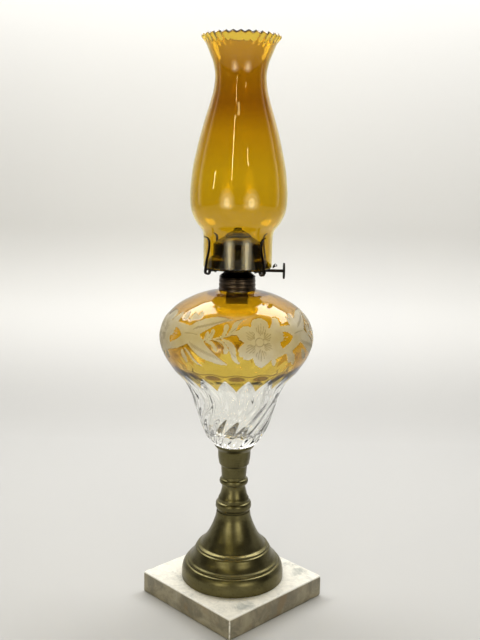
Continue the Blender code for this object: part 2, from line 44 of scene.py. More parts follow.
# ------------------------------------------------------------------ dimensions (mm), as the CAD has them
FOOT_OUTER = ((60.0, 25.3), (60.0, 31.0), (59.2, 37.5), (57.3, 42.2), (55.0, 44.6), (53.6, 45.0),
              (53.9, 46.3), (50.6, 49.3), (47.6, 53.2), (45.2, 58.0), (43.4, 61.4), (41.6, 62.4),
              (41.9, 63.9), (38.6, 65.6), (34.9, 70.2), (30.3, 76.4), (26.2, 84.4), (22.7, 93.0),
              (20.6, 100.0), (19.6, 106.6))
STEM_OUTER = ((18.7, 106.9), (18.9, 108.6), (20.0, 109.8), (20.9, 112.4), (20.8, 115.4), (19.7, 118.0),
              (18.0, 119.0), (17.9, 121.6), (16.3, 125.4), (14.6, 130.8), (13.7, 136.6), (14.2, 139.4),
              (16.0, 140.6), (16.7, 143.2), (16.0, 145.8), (14.5, 147.0), (14.3, 150.0))
SOCKET_OUTER = ((14.4, 150.3), (14.8, 156.0), (15.4, 162.4), (17.2, 164.2), (18.1, 168.0), (18.9, 175.6),
                (18.9, 180.6), (20.9, 184.0), (23.0, 186.6), (23.2, 188.3))
FONT_OUTER = ((23.8, 189.2), (27.2, 192.6), (32.2, 198.0), (39.0, 212.0), (44.6, 228.0), (49.4, 245.0),
              (53.4, 255.0), (57.1, 262.0), (62.9, 270.0), (70.4, 278.0), (75.9, 286.0), (81.4, 295.0),
              (84.6, 303.0), (87.1, 315.0), (84.8, 327.0), (81.0, 335.6), (74.9, 343.0), (67.3, 350.0),
              (57.6, 356.0), (46.0, 361.4), (33.0, 365.4), (23.4, 367.2), (18.7, 368.2))
CHIM_OUTER = ((38.15, 394.9), (38.15, 410.0), (38.15, 424.0), (38.9, 433.0), (41.1, 437.0), (45.4, 442.0),
              (48.8, 448.0), (51.7, 455.0), (53.2, 463.0), (53.5, 473.0), (51.4, 498.0), (47.1, 520.0),
              (42.2, 540.0), (37.3, 557.0), (32.3, 573.0), (28.6, 588.0), (27.6, 600.0), (29.5, 612.0),
              (34.1, 624.0), (38.4, 634.0), (42.6, 640.5))
KNOB_DIR = math.radians(45.0)
U = Vector((math.cos(KNOB_DIR), math.sin(KNOB_DIR), 0.0))
V = Vector((math.sin(KNOB_DIR), -math.cos(KNOB_DIR), 0.0))
VIEW_AZ = math.radians(45.74)                 # the camera's bearing; azimuths below are seen from it
FRONT = VIEW_AZ - math.pi / 2                 # plan angle that faces the camera
RIBS = 18
GAP = 0.3
PRONG_DIRS = (-95.0, -5.0, 85.0, 175.0)
SHAFT_OFF, SHAFT_Z = 2.8 / 2 + 4.3 + GAP, 391.5


# ------------------------------------------------------------------ mesh helpers
def chord(pts):
    p = np.asarray(pts, float)
    return np.r_[0, np.cumsum(np.hypot(*np.diff(p, axis=0).T))]


def pchip(x, y, xi):
    """Monotone cubic through stations."""
    x, y = np.asarray(x, float), np.asarray(y, float)
    h, d = np.diff(x), np.diff(y) / np.diff(x)
    m = np.zeros(len(x))
    m[0], m[-1] = d[0], d[-1]
    for i in range(1, len(d)):
        if d[i - 1] * d[i] > 0:
            w1, w2 = 2 * h[i] + h[i - 1], h[i] + 2 * h[i - 1]
            m[i] = (w1 + w2) / (w1 / d[i - 1] + w2 / d[i])
    k = np.clip(np.searchsorted(x, xi, side="right") - 1, 0, len(h) - 1)
    u = np.clip((xi - x[k]) / h[k], 0, 1)
    return ((2 * u ** 3 - 3 * u ** 2 + 1) * y[k] + (u ** 3 - 2 * u ** 2 + u) * h[k] * m[k]
            + (-2 * u ** 3 + 3 * u ** 2) * y[k + 1] + (u ** 3 - u ** 2) * h[k] * m[k + 1])


def smooth_path(pts, step=1.0, blur=0.0):
    """Evenly spaced points on a smooth curve through (radius, height) stations; blur in mm."""
    s = chord(pts)
    p = np.asarray(pts, float)
    n = max(3, int(round(s[-1] / step)) + 1)
    fine = np.linspace(0, s[-1], n * 4)
    r, z = pchip(s, p[:, 0], fine), pchip(s, p[:, 1], fine)
    if blur > 0:
        sig = blur / (fine[1] - fine[0])
        k = int(3 * sig)
        w = np.exp(-0.5 * (np.arange(-k, k + 1) / sig) ** 2)
        w /= w.sum()
        pr = np.r_[2 * r[0] - r[k:0:-1], r, 2 * r[-1] - r[-2:-k - 2:-1]]
        pz = np.r_[2 * z[0] - z[k:0:-1], z, 2 * z[-1] - z[-2:-k - 2:-1]]
        r, z = np.convolve(pr, w, "valid"), np.convolve(pz, w, "valid")
    s2 = np.r_[0, np.cumsum(np.hypot(np.diff(r), np.diff(z)))]
    t = np.linspace(0, s2[-1], n)
    return np.c_[np.interp(t, s2, r), np.interp(t, s2, z)]


def offset(path, wall):
    t = np.gradient(path, axis=0)
    t /= np.hypot(t[:, 0], t[:, 1])[:, None]
    w = np.asarray(wall)[..., None] if np.ndim(wall) else wall
    return path + w * np.c_[-t[:, 1], t[:, 0]]


def new_object(name, verts, faces, mats, smooth=True, angle=40.0, face_mat=None):
    me = bpy.data.meshes.new(name)
    me.from_pydata([tuple(v) for v in verts], [], faces)
    me.update()
    bm = bmesh.new()
    bm.from_mesh(me)
    bmesh.ops.recalc_face_normals(bm, faces=bm.faces)
    bm.to_mesh(me)
    bm.free()
    for m in (mats if isinstance(mats, (list, tuple)) else [mats]):
        me.materials.append(m)
    if face_mat is not None:
        me.polygons.foreach_set("material_index", np.asarray(face_mat, np.int32))
    if smooth:
        me.shade_smooth()
        if angle < 180:
            me.set_sharp_from_angle(angle=math.radians(angle))
    ob = bpy.data.objects.new(name, me)
    coll.objects.link(ob)
    return ob


def grid_faces(rows, cols, wrap_rows=False):
    """Quads over a rows x cols grid of vertices, closed round the columns."""
    out = []
    last = rows if wrap_rows else rows - 1
    for i in range(last):
        a, b = i * cols, ((i + 1) % rows) * cols
        for j in range(cols):
            k = (j + 1) % cols
            out.append((a + j, a + k, b + k, b + j))
    return out


def turned(name, prof, n, mats, angle=40.0, shape=None, closed=True):
    """Surface of revolution from (r, z) in mm. shape(theta, r, z) may move the points."""
    prof = np.asarray(prof, float)
    keep = np.r_[True, np.hypot(*np.diff(prof, axis=0).T) > 1e-4]
    prof = prof[keep]
    th = np.arange(n) * 2 * math.pi / n
    R = np.repeat(prof[:, 0][:, None], n, 1)
    Z = np.repeat(prof[:, 1][:, None], n, 1)
    T = np.repeat(th[None, :], len(prof), 0)
    if shape:
        R, Z = shape(T, R, Z)
    P = np.stack([R * np.cos(T), R * np.sin(T), Z], -1).reshape(-1, 3) * MM
    return new_object(name, P, grid_faces(len(prof), n, closed), mats, angle=angle)


def uvz(at=(0, 0, 0), along=U, side=V):
    m = Matrix.Identity(4)
    m.col[0][:3] = along
    m.col[1][:3] = -side
    m.col[2][:3] = Vector((0, 0, 1))
    m.translation = Vector(at) * MM
    return m


def apply_all(ob):
    """Turns the evaluated mesh into the object's own mesh."""
    dg = bpy.context.evaluated_depsgraph_get()
    me = bpy.data.meshes.new_from_object(ob.evaluated_get(dg), depsgraph=dg)
    ob.modifiers.clear()
    old = ob.data
    ob.data = me
    me.name = ob.name
    bpy.data.meshes.remove(old)
    return ob


def bm_object(name, bm, mats, angle=35.0):
    bmesh.ops.recalc_face_normals(bm, faces=bm.faces)
    me = bpy.data.meshes.new(name)
    bm.to_mesh(me)
    bm.free()
    for m in (mats if isinstance(mats, (list, tuple)) else [mats]):
        me.materials.append(m)
    me.shade_smooth()
    me.set_sharp_from_angle(angle=math.radians(angle))
    ob = bpy.data.objects.new(name, me)
    coll.objects.link(ob)
    return ob


def subtract(ob, cutters):
    """Boolean difference, applied; the cutters are removed."""
    for c in cutters:
        m = ob.modifiers.new("cut", "BOOLEAN")
        m.operation, m.solver, m.object = "DIFFERENCE", "EXACT", c
    apply_all(ob)
    for c in cutters:
        bpy.data.objects.remove(c, do_unlink=True)
    ob.data.shade_smooth()
    ob.data.set_sharp_from_angle(angle=math.radians(35))
    return ob


def cyl(r, p0, p1, n=24, name="cutter"):
    p0, p1 = Vector(p0) * MM, Vector(p1) * MM
    d = p1 - p0
    bm = bmesh.new()
    bmesh.ops.create_cone(bm, cap_ends=True, segments=n, radius1=r * MM, radius2=r * MM, depth=d.length,
                          matrix=Matrix.Translation((p0 + p1) / 2) @ d.to_track_quat('Z', 'Y').to_matrix().to_4x4())
    me = bpy.data.meshes.new(name)
    bm.to_mesh(me)
    bm.free()
    ob = bpy.data.objects.new(name, me)
    coll.objects.link(ob)
    return ob


# ------------------------------------------------------------------ material helpers
class Nodes:
    """Short hand for building a node tree."""

    def __init__(self, name):
        self.m = bpy.data.materials.new(name)
        self.m.use_nodes = True
        self.t = self.m.node_tree
        self.bsdf = self.t.nodes["Principled BSDF"]
        self.out = self.t.nodes["Material Output"]

    def node(self, kind, **kw):
        n = self.t.nodes.new(kind)
        for k, v in kw.items():
            setattr(n, k, v)
        return n

    def put(self, node, sock, v):
        s = node.inputs[sock]
        if isinstance(v, bpy.types.NodeSocket):
            self.t.links.new(v, s)
        elif isinstance(v, (tuple, list)) and len(v) == 3 and s.type == 'RGBA':
            s.default_value = (*v, 1.0)
        else:
            s.default_value = v

    def coords(self, scale=(1, 1, 1)):
        tc = self.node("ShaderNodeTexCoord")
        mp = self.node("ShaderNodeMapping")
        self.put(mp, "Vector", tc.outputs["Object"])
        mp.inputs["Scale"].default_value = scale
        return mp.outputs["Vector"]

    def noise(self, scale, detail=4.0, rough=0.55, vec=None, distort=0.0, lac=2.0):
        n = self.node("ShaderNodeTexNoise")
        n.inputs["Scale"].default_value = scale
        n.inputs["Detail"].default_value = detail
        n.inputs["Roughness"].default_value = rough
        n.inputs["Distortion"].default_value = distort
        n.inputs["Lacunarity"].default_value = lac
        self.put(n, "Vector", vec if vec is not None else self.coords())
        return n.outputs["Fac"]

    def ramp(self, fac, stops, mode='LINEAR'):
        n = self.node("ShaderNodeValToRGB")
        n.color_ramp.interpolation = mode
        e = n.color_ramp.elements
        while len(e) > 1:
            e.remove(e[-1])
        e[0].position = stops[0][0]
        c = stops[0][1]
        e[0].color = (*c, 1.0) if isinstance(c, (tuple, list)) else (c, c, c, 1.0)
        for p, c in stops[1:]:
            x = e.new(p)
            x.color = (*c, 1.0) if isinstance(c, (tuple, list)) else (c, c, c, 1.0)
        self.put(n, "Fac", fac)
        return n.outputs["Color"]

    def mix(self, fac, a, b, blend='MIX'):
        n = self.node("ShaderNodeMix", data_type='RGBA', blend_type=blend)
        ins = [s for s in n.inputs if s.enabled]
        for s, v in zip(ins, (fac, a, b)):
            if isinstance(v, bpy.types.NodeSocket):
                self.t.links.new(v, s)
            elif isinstance(v, (tuple, list)):
                s.default_value = (*v, 1.0)
            else:
                s.default_value = v if s.type != 'RGBA' else (v, v, v, 1.0)
        return [o for o in n.outputs if o.enabled][0]

    def math(self, op, a, b=0.0, clamp=False, c=None):
        n = self.node("ShaderNodeMath", operation=op, use_clamp=clamp)
        for i, v in enumerate((a, b) if c is None else (a, b, c)):
            if isinstance(v, bpy.types.NodeSocket):
                self.t.links.new(v, n.inputs[i])
            else:
                n.inputs[i].default_value = v
        return n.outputs[0]

    def smooth(self, x, lo, hi, a=0.0, b=1.0):
        n = self.node("ShaderNodeMapRange", interpolation_type='SMOOTHSTEP')
        for k, v in (("Value", x), ("From Min", lo), ("From Max", hi), ("To Min", a), ("To Max", b)):
            self.put(n, k, v)
        return n.outputs["Result"]

    def attr(self, name):
        n = self.node("ShaderNodeAttribute", attribute_name=name)
        return n.outputs["Fac"]

    def bump(self, height, strength=0.3, dist=0.001, normal=None):
        n = self.node("ShaderNodeBump")
        n.inputs["Strength"].default_value = strength
        n.inputs["Distance"].default_value = dist
        self.put(n, "Height", height)
        if normal is not None:
            self.put(n, "Normal", normal)
        return n.outputs["Normal"]

    def set(self, **kw):
        for k, v in kw.items():
            self.put(self.bsdf, k.replace("_", " "), v)
        return self.m


def sep_z(k):
    """Height of the shaded point, in metres, in the lamp's own frame."""
    tc = k.node("ShaderNodeTexCoord")
    s = k.node("ShaderNodeSeparateXYZ")
    k.put(s, "Vector", tc.outputs["Object"])
    return s.outputs["Z"]


def brass(name, dark, mid, light, rough=(0.28, 0.52), spots=0.5, scale=1.0, bump=0.12, metal=1.0):
    """Aged brass: blotchy patina, dark specks, rubbed paler patches and fine tool marks."""
    k = Nodes(name)
    blot = k.noise(38 * scale, 6, 0.62, distort=0.6)
    cloud = k.noise(11 * scale, 3, 0.5)
    fine = k.noise(420 * scale, 4, 0.6)
    grain = k.noise(1500, 2, 0.5)
    stretch = k.noise(90, 3, 0.6, vec=k.coords((1.0, 1.0, 14.0)))
    base = k.ramp(blot, [(0.30, dark), (0.50, mid), (0.72, light)])
    base = k.mix(k.smooth(cloud, 0.38, 0.66), base, k.mix(0.5, base, mid))
    speck = k.smooth(fine, 0.60, 0.70)
    base = k.mix(k.math('MULTIPLY', speck, spots), base, tuple(c * 0.35 for c in dark))
    lines = k.smooth(stretch, 0.42, 0.62)
    base = k.mix(k.math('MULTIPLY', lines, 0.18), base, light)
    r = k.math('ADD', k.math('MULTIPLY', blot, rough[1] - rough[0]), rough[0] - 0.02)
    r = k.math('ADD', r, k.math('MULTIPLY', speck, 0.16))
    h = k.math('ADD', k.math('MULTIPLY', grain, 0.35), k.math('MULTIPLY', fine, 0.9))
    h = k.math('ADD', h, k.math('MULTIPLY', stretch, 0.5))
    k.set(Base_Color=base, Roughness=r, Metallic=metal, Normal=k.bump(h, bump, 0.0004))
    return k.m


# ------------------------------------------------------------------ materials
m_pedestal = brass("pedestal_brass", (0.082, 0.071, 0.029), (0.136, 0.120, 0.052), (0.190, 0.168, 0.082),
                   rough=(0.30, 0.42), spots=0.55, bump=0.06)
m_collar = brass("collar_brass", (0.022, 0.016, 0.011), (0.060, 0.043, 0.030), (0.135, 0.100, 0.070),
                 rough=(0.24, 0.44), spots=0.4, scale=1.6)
m_burner = brass("burner_brass", (0.006, 0.004, 0.002), (0.014, 0.010, 0.006), (0.032, 0.023, 0.014),
                 rough=(0.18, 0.30), spots=0.45, scale=1.8)
m_winder = brass("winder_brass", (0.012, 0.010, 0.008), (0.026, 0.022, 0.018), (0.060, 0.050, 0.040),
                 rough=(0.30, 0.50), spots=0.4, scale=2.4)
m_thread = brass("thread_brass", (0.09, 0.06, 0.025), (0.25, 0.18, 0.08), (0.42, 0.32, 0.16),
                 rough=(0.22, 0.40), spots=0.4, scale=2.0)
m_steel = brass("dull_steel", (0.10, 0.085, 0.07), (0.26, 0.25, 0.23), (0.42, 0.41, 0.38),
                rough=(0.32, 0.55), spots=0.7, scale=1.6)

k = Nodes("plaster")
n1, n2 = k.noise(160, 5, 0.6), k.noise(900, 3, 0.5)
m_plaster = k.set(Base_Color=k.ramp(n1, [(0.3, (0.20, 0.165, 0.10)), (0.7, (0.36, 0.31, 0.21))]), Roughness=0.92,
                  Normal=k.bump(n2, 0.5, 0.0004))

k = Nodes("wick_cotton")
vec = k.coords((1, 1, 1))
wv = k.node("ShaderNodeTexWave", wave_type='BANDS', bands_direction='Z')
k.put(wv, "Vector", vec)
wv.inputs["Scale"].default_value = 320.0
wv.inputs["Distortion"].default_value = 1.6
wv.inputs["Detail Scale"].default_value = 6.0
zz = sep_z(k)
char = k.smooth(zz, 0.4290, 0.4325)
col = k.ramp(wv.outputs["Fac"], [(0.2, (0.44, 0.38, 0.27)), (0.8, (0.72, 0.66, 0.53))])
col = k.mix(k.math('MULTIPLY', char, 0.93), col, (0.020, 0.016, 0.012))
m_wick = k.set(Base_Color=col, Roughness=0.95, Sheen_Weight=0.3,
               Normal=k.bump(wv.outputs["Fac"], 0.6, 0.0004))


def marble_material():
    k = Nodes("white_marble")
    big = k.noise(13, 4, 0.6, distort=0.8)
    mid = k.noise(44, 7, 0.66, distort=0.6)
    fine = k.noise(230, 5, 0.6)
    vein_n = k.noise(17, 6, 0.62, distort=1.6)
    vein = k.smooth(k.math('ABSOLUTE', k.math('SUBTRACT', vein_n, 0.5)), 0.045, 0.0)
    z = sep_z(k)
    # mask of the sides, which carry the painted shade below
    side = k.smooth(z, 0.0240, 0.0226)
    base = k.mix(k.smooth(fine, 0.35, 0.65), (0.82, 0.79, 0.69), (0.75, 0.72, 0.625))
    # soft grey clouds, made of small flecks
    cloud = k.math('MULTIPLY', k.smooth(big, 0.50, 0.66), k.smooth(mid, 0.40, 0.62))
    base = k.mix(k.math('MULTIPLY', cloud, 0.85), base, (0.31, 0.325, 0.29))
    fleck = k.math('MULTIPLY', k.smooth(mid, 0.52, 0.66), k.smooth(fine, 0.45, 0.62))
    base = k.mix(k.math('MULTIPLY', fleck, 0.45), base, (0.38, 0.385, 0.345))
    base = k.mix(k.math('MULTIPLY', vein, 0.20), base, (0.38, 0.38, 0.34))
    # the sides get a painted shade, darker than the top, with tan and brown stains
    tan_n = k.noise(26, 6, 0.64, distort=0.7)
    flank_shade_and_stains = k.mix(k.smooth(mid, 0.38, 0.62), (0.345, 0.298, 0.190), (0.185, 0.162, 0.105))
    flank_shade_and_stains = k.mix(k.math('MULTIPLY', k.smooth(tan_n, 0.52, 0.68), 0.75), flank_shade_and_stains, (0.235, 0.150, 0.060))
    flank_shade_and_stains = k.mix(k.math('MULTIPLY', k.smooth(tan_n, 0.44, 0.30), 0.6), flank_shade_and_stains, (0.44, 0.40, 0.30))
    base = k.mix(k.math('MULTIPLY', side, 0.93), base, flank_shade_and_stains)
    # paler along the arrises, in broken patches
    pt = k.node("ShaderNodeSeparateXYZ")
    k.put(pt, "Vector", k.coords())
    ax, ay = k.math('ABSOLUTE', pt.outputs["X"]), k.math('ABSOLUTE', pt.outputs["Y"])
    near = lambda v, d: k.smooth(v, 0.075 - d, 0.075 - d * 0.45)
    ex, ey, ez = near(ax, 0.0016), near(ay, 0.0016), k.smooth(z, 0.0232, 0.0241)
    arris = k.math('MAXIMUM', k.math('MULTIPLY', ex, ey), k.math('MULTIPLY', k.math('MAXIMUM', ex, ey), ez))
    pale_arrises = k.math('MULTIPLY', arris, k.smooth(fine, 0.36, 0.56, 0.35, 1.0))
    base = k.mix(pale_arrises, base, (0.88, 0.86, 0.79))
    r = k.math('ADD', 0.30, k.math('MULTIPLY', mid, 0.22))
    h = k.math('ADD', fine, k.math('MULTIPLY', mid, 0.5))
    k.set(Base_Color=base, Roughness=r, Normal=k.bump(h, 0.12, 0.0006))
    return k.m


m_marble = marble_material()

# amber chimney glass, deeper at the neck: each wall face lets the square root of this through
k = Nodes("chimney_glass")
wav = k.noise(26, 2, 0.4, vec=k.coords((1, 1, 0.35)))
tone = k.ramp(k.smooth(sep_z(k), 0.395, 0.645), [(0.0, (0.80, 0.60, 0.075)), (0.35, (0.80, 0.61, 0.075)), (0.62, (0.72, 0.50, 0.045)),
                                                 (0.80, (0.53, 0.31, 0.018)), (0.93, (0.58, 0.37, 0.024)), (1.0, (0.70, 0.48, 0.045))])
m_chimney = k.set(Base_Color=tone, Roughness=0.012, IOR=1.5, Transmission_Weight=1.0,
                  Normal=k.bump(wav, 0.05, 0.004))


def font_material():
    """Outer face of the font. Attributes: stain (mm above the clear flutes), cut (mm inside the
    engraving is negative), line (mm from a fine engraved line)."""
    k = Nodes("font_glass")
    stain = k.smooth(k.attr("stain"), -0.25, 0.25)
    cut = k.smooth(k.attr("cut"), 0.16, -0.16)
    line = k.smooth(k.attr("line"), 0.85, 0.20)
    frost_n = k.noise(700, 4, 0.6)
    soft_n = k.noise(60, 4, 0.55)
    amber = k.ramp(soft_n, [(0.3, (0.54, 0.27, 0.004)), (0.7, (0.62, 0.325, 0.006))])
    clear = (0.965, 0.965, 0.94)
    # painted shade: the deep attribute turns the amber dark brown in the shade bands above the teeth, and in the
    # shoulder collar
    amber = k.mix(k.smooth(k.attr("deep"), 0.02, 0.42, 0.0, 0.96), amber, (0.085, 0.024, 0.001))
    frost = k.ramp(soft_n, [(0.35, (0.66, 0.58, 0.39)), (0.65, (0.80, 0.74, 0.58))])
    frost = k.mix(k.math('MULTIPLY', line, 0.90), frost, (0.34, 0.27, 0.13))
    base = k.mix(stain, clear, amber)
    base = k.mix(cut, base, frost)
    rough = k.math('ADD', 0.015, k.math('MULTIPLY', cut, 0.47))
    trans = k.math('SUBTRACT', 1.0, k.math('MULTIPLY', cut, 0.46))
    h = k.math('ADD', k.math('MULTIPLY', k.math('MULTIPLY', frost_n, cut), 0.3), k.math('MULTIPLY', line, -1.0))
    k.set(Base_Color=base, Roughness=rough, IOR=1.5, Transmission_Weight=trans, Normal=k.bump(h, 0.22, 0.0005))
    return k.m


m_font = font_material()
k = Nodes("font_glass_inside")
wav = k.noise(30, 2, 0.4)
m_font_in = k.set(Base_Color=(0.985, 0.985, 0.96), Roughness=0.015, IOR=1.5, Transmission_Weight=1.0,
                  Normal=k.bump(wav, 0.08, 0.004))


# ------------------------------------------------------------------ plinth
def build_base():
    S, H = 75.0, 25.0
    bm = bmesh.new()
    bmesh.ops.create_cube(bm, size=1.0)
    bmesh.ops.scale(bm, vec=(2 * S * MM, 2 * S * MM, H * MM), verts=bm.verts)
    bmesh.ops.translate(bm, vec=(0, 0, H / 2 * MM), verts=bm.verts)
    bmesh.ops.bevel(bm, geom=list(bm.edges), offset=1.5 * MM, segments=4, profile=0.6, affect='EDGES')
    ob = bm_object("plinth", bm, m_marble)
    subtract(ob, [cyl(5.5, (0, 0, -3), (0, 0, 28), 48), cyl(17.0, (0, 0, -3), (0, 0, 10), 72)])
    # small chips and worn stretches along the top edges
    bm = bmesh.new()
    bm.from_mesh(ob.data)
    bmesh.ops.subdivide_edges(bm, edges=[e for e in bm.edges if e.calc_length() > 0.02
                                         and max(abs(v.co.x) for v in e.verts) > 0.07
                                         or e.calc_length() > 0.02
                                         and max(abs(v.co.y) for v in e.verts) > 0.07], cuts=40)
    rng = np.random.default_rng(7)
    chips = [(rng.choice([-1, 1]) * S, rng.uniform(-S, S), rng.choice([0, H], p=[0.4, 0.6]), rng.uniform(0.8, 2.4), rng.uniform(0.25, 0.8))
             for _ in range(11)]
    chips += [(rng.uniform(-S, S), rng.choice([-1, 1]) * S, rng.choice([0, H], p=[0.4, 0.6]), rng.uniform(0.8, 2.4), rng.uniform(0.25, 0.8))
              for _ in range(11)]
    chips += [(S, -S, H, 1.8, 0.8), (-S, -S, H, 1.5, 0.6), (S, S, H, 1.6, 0.6)]
    for v in bm.verts:
        x, y, z = v.co.x / MM, v.co.y / MM, v.co.z / MM
        if math.hypot(x, y) < 40:
            continue
        push = 0.0
        for cx, cy, cz, rad, dep in chips:
            d = math.sqrt((x - cx) ** 2 + (y - cy) ** 2 + ((z - cz) * 0.8) ** 2)
            if d < rad * 2:
                push = max(push, dep * (1 - (d / (rad * 2)) ** 2))
        if push > 0:
            c = Vector((x * 0.9, y * 0.9, H / 2))
            dirn = (c - Vector((x, y, z))).normalized()
            q = v.co + dirn * push * MM
            if z < 0.01:
                q.z = max(q.z, 0.0)
            v.co = q
    bm.to_mesh(ob.data)
    bm.free()
    ob.data.shade_smooth()
    ob.data.set_sharp_from_angle(angle=math.radians(35))
    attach(ob, "stand")
    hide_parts("marble_base")


build_base()


# ------------------------------------------------------------------ turned brass pedestal
def pedestal(name, outer, inner, node, step=0.45, blur=0.5, n=192):
    out = smooth_path(outer, step, blur)
    out[0], out[-1] = outer[0], outer[-1]
    ob = turned(name, np.r_[out, np.asarray(inner, float)], n, m_pedestal, angle=32)
    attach(ob, "stand")
    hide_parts(node)
    return ob


foot_mid = smooth_path([FOOT_OUTER[i] for i in (0, 2, 4, 8, 13, 15, 17)], 3.0)
foot_in = offset(foot_mid, 2.6)[::-1]
pedestal("foot_turned", FOOT_OUTER, [(4.45, 106.6), (4.45, 102.6), (14.0, 102.6)] + [tuple(p) for p in foot_in[1:-1]] + [(57.6, 25.3)],
         "foot_bell", blur=0.35)
pedestal("stem_turned", STEM_OUTER, [(4.45, 150.0), (4.45, 146.0), (10.5, 144.0), (10.5, 112.9), (4.45, 110.9), (4.45, 106.9)],
         "stem", step=0.35, blur=0.3, n=144)
pedestal("socket_turned", SOCKET_OUTER, [(22.0, 188.3), (20.0, 184.8), (17.6, 181.4), (17.4, 175.4), (16.6, 168.0), (15.6, 165.4),
                                         (12.5, 163.2), (4.45, 163.2), (4.45, 158.3), (11.0, 157.3), (11.6, 150.3)],
         "font_socket", step=0.35, blur=0.3, n=144)


# ------------------------------------------------------------------ font
def closed_curve(pts, per=10):
    """Closed Catmull-Rom curve through the points."""
    p = np.asarray(pts, float)
    n = len(p)
    out = []
    for i in range(n):
        a, b, c, d = p[(i - 1) % n], p[i], p[(i + 1) % n], p[(i + 2) % n]
        for t in np.arange(per) / per:
            out.append(0.5 * (2 * b + (c - a) * t + (2 * a - 5 * b + 4 * c - d) * t * t + (3 * b - a - 3 * c + d) * t ** 3))
    return np.array(out)


def open_curve(pts, per=12):
    p = np.asarray(pts, float)
    p = np.vstack([2 * p[0] - p[1], p, 2 * p[-1] - p[-2]])
    out = []
    for i in range(1, len(p) - 2):
        a, b, c, d = p[i - 1], p[i], p[i + 1], p[i + 2]
        for t in np.arange(per) / per:
            out.append(0.5 * (2 * b + (c - a) * t + (2 * a - 5 * b + 4 * c - d) * t * t + (3 * b - a - 3 * c + d) * t ** 3))
    out.append(p[-2])
    return np.array(out)


def seg_dist(q, poly, closed):
    """Least distance from each point to a polyline."""
    a = poly
    b = np.roll(poly, -1, 0) if closed else poly[1:]
    a = a if closed else poly[:-1]
    best = np.full(len(q), 1e9)
    for s in range(0, len(q), 4000):
        d = q[s:s + 4000, None] - a[None]
        e = (b - a)[None]
        t = np.clip((d * e).sum(-1) / np.maximum((e * e).sum(-1), 1e-9), 0, 1)
        best[s:s + 4000] = np.sqrt(((d - t[..., None] * e) ** 2).sum(-1)).min(1)
    return best


def inside(q, poly):
    x, y = q[:, 0], q[:, 1]
    a, b = poly, np.roll(poly, -1, 0)
    c = np.zeros(len(q), bool)
    for (x0, y0), (x1, y1) in zip(a, b):
        if y0 != y1:
            c ^= ((y0 > y) != (y1 > y)) & (x < (x1 - x0) * (y - y0) / (y1 - y0) + x0)
    return c


def sdf(q, poly):
    """Signed distance, negative inside, worked out only near the shape."""
    lo, hi = poly.min(0) - 3.0, poly.max(0) + 3.0
    near = ((q > lo) & (q < hi)).all(1)
    out = np.full(len(q), 3.0)
    if near.any():
        d = seg_dist(q[near], poly, True)
        out[near] = np.where(inside(q[near], poly), -d, d)
    return out


def leaf(root, tip, width, bend=0.0, n=14):
    """A pointed leaf outline from root to tip, bowed sideways by bend."""
    root, tip = np.asarray(root, float), np.asarray(tip, float)
    d = tip - root
    L = np.hypot(*d)
    e = d / L
    nrm = np.array([-e[1], e[0]])
    t = np.linspace(0, 1, n)
    mid = root + np.outer(t * L, e) + np.outer(bend * L * np.sin(math.pi * t), nrm)
    w = width * 0.5 * np.sin(math.pi * t ** 0.8) ** 0.8
    up, dn = mid + w[:, None] * nrm, mid - w[:, None] * nrm
    return np.vstack([up, dn[::-1][1:-1]]), mid


# Outlines of the engraving in mm: along the girth from a bloom's centre, and up the wall.
BLOOM_AND_BIRD = ((-5.3, 24.6), (-3.7, 26.2), (-0.7, 27.3), (3.7, 28.2), (7.3, 27.9), (9.8, 26.2), (12.4, 24.5), (13.9, 22.0),
                  (14.0, 18.4), (13.2, 15.1), (20.5, 15.7), (28.0, 15.9), (38.9, 15.7), (46.5, 14.9), (53.0, 15.2), (56.2, 18.9),
                  (64.4, 24.0), (76.7, 28.4), (87.7, 29.4), (97.5, 28.2), (105.0, 26.0), (94.4, 23.4), (84.1, 18.5), (75.8, 13.0),
                  (70.9, 9.2), (67.7, 5.7), (72.1, 1.0), (74.9, -2.9), (80.4, -8.1), (87.1, -14.0), (93.2, -19.3), (99.6, -24.2),
                  (94.2, -24.9), (88.7, -24.3), (82.2, -22.2), (74.5, -19.9), (69.0, -17.1), (62.2, -12.3), (57.0, -8.0), (53.3, -5.6),
                  (49.3, -7.7), (43.8, -10.7), (37.6, -13.1), (31.5, -14.6), (25.8, -16.0), (21.1, -18.0), (17.0, -20.4), (13.2, -20.0),
                  (11.2, -22.1), (9.3, -24.2), (7.0, -26.0), (4.3, -28.2), (1.5, -28.6), (-1.6, -26.5), (-4.5, -23.8), (-6.1, -20.1),
                  (-7.3, -16.3), (-9.8, -17.9), (-13.3, -18.6), (-16.9, -17.6), (-18.4, -15.3), (-21.4, -14.4), (-21.7, -11.0),
                  (-22.9, -9.3), (-22.3, -6.4), (-20.4, -3.6), (-16.6, -0.2), (-19.2, 1.6), (-21.6, 3.4), (-22.9, 6.0), (-24.6, 8.0),
                  (-29.5, 8.6), (-28.0, 12.0), (-24.2, 13.3), (-21.2, 14.3), (-19.4, 16.6), (-15.4, 18.3), (-11.3, 18.5), (-8.0, 17.2),
                  (-7.3, 20.8))
WINDOW = ((30.2, 9.2), (35.8, 8.1), (40.8, 5.2), (43.0, 2.2), (39.4, -1.6), (33.0, -5.2), (26.8, -8.2), (23.6, -2.4), (27.2, -0.5),
          (31.8, -0.2), (28.2, 1.0), (29.0, 2.4), (37.2, 2.6), (29.4, 3.9), (30.0, 5.4), (32.4, 6.4), (29.6, 7.2))
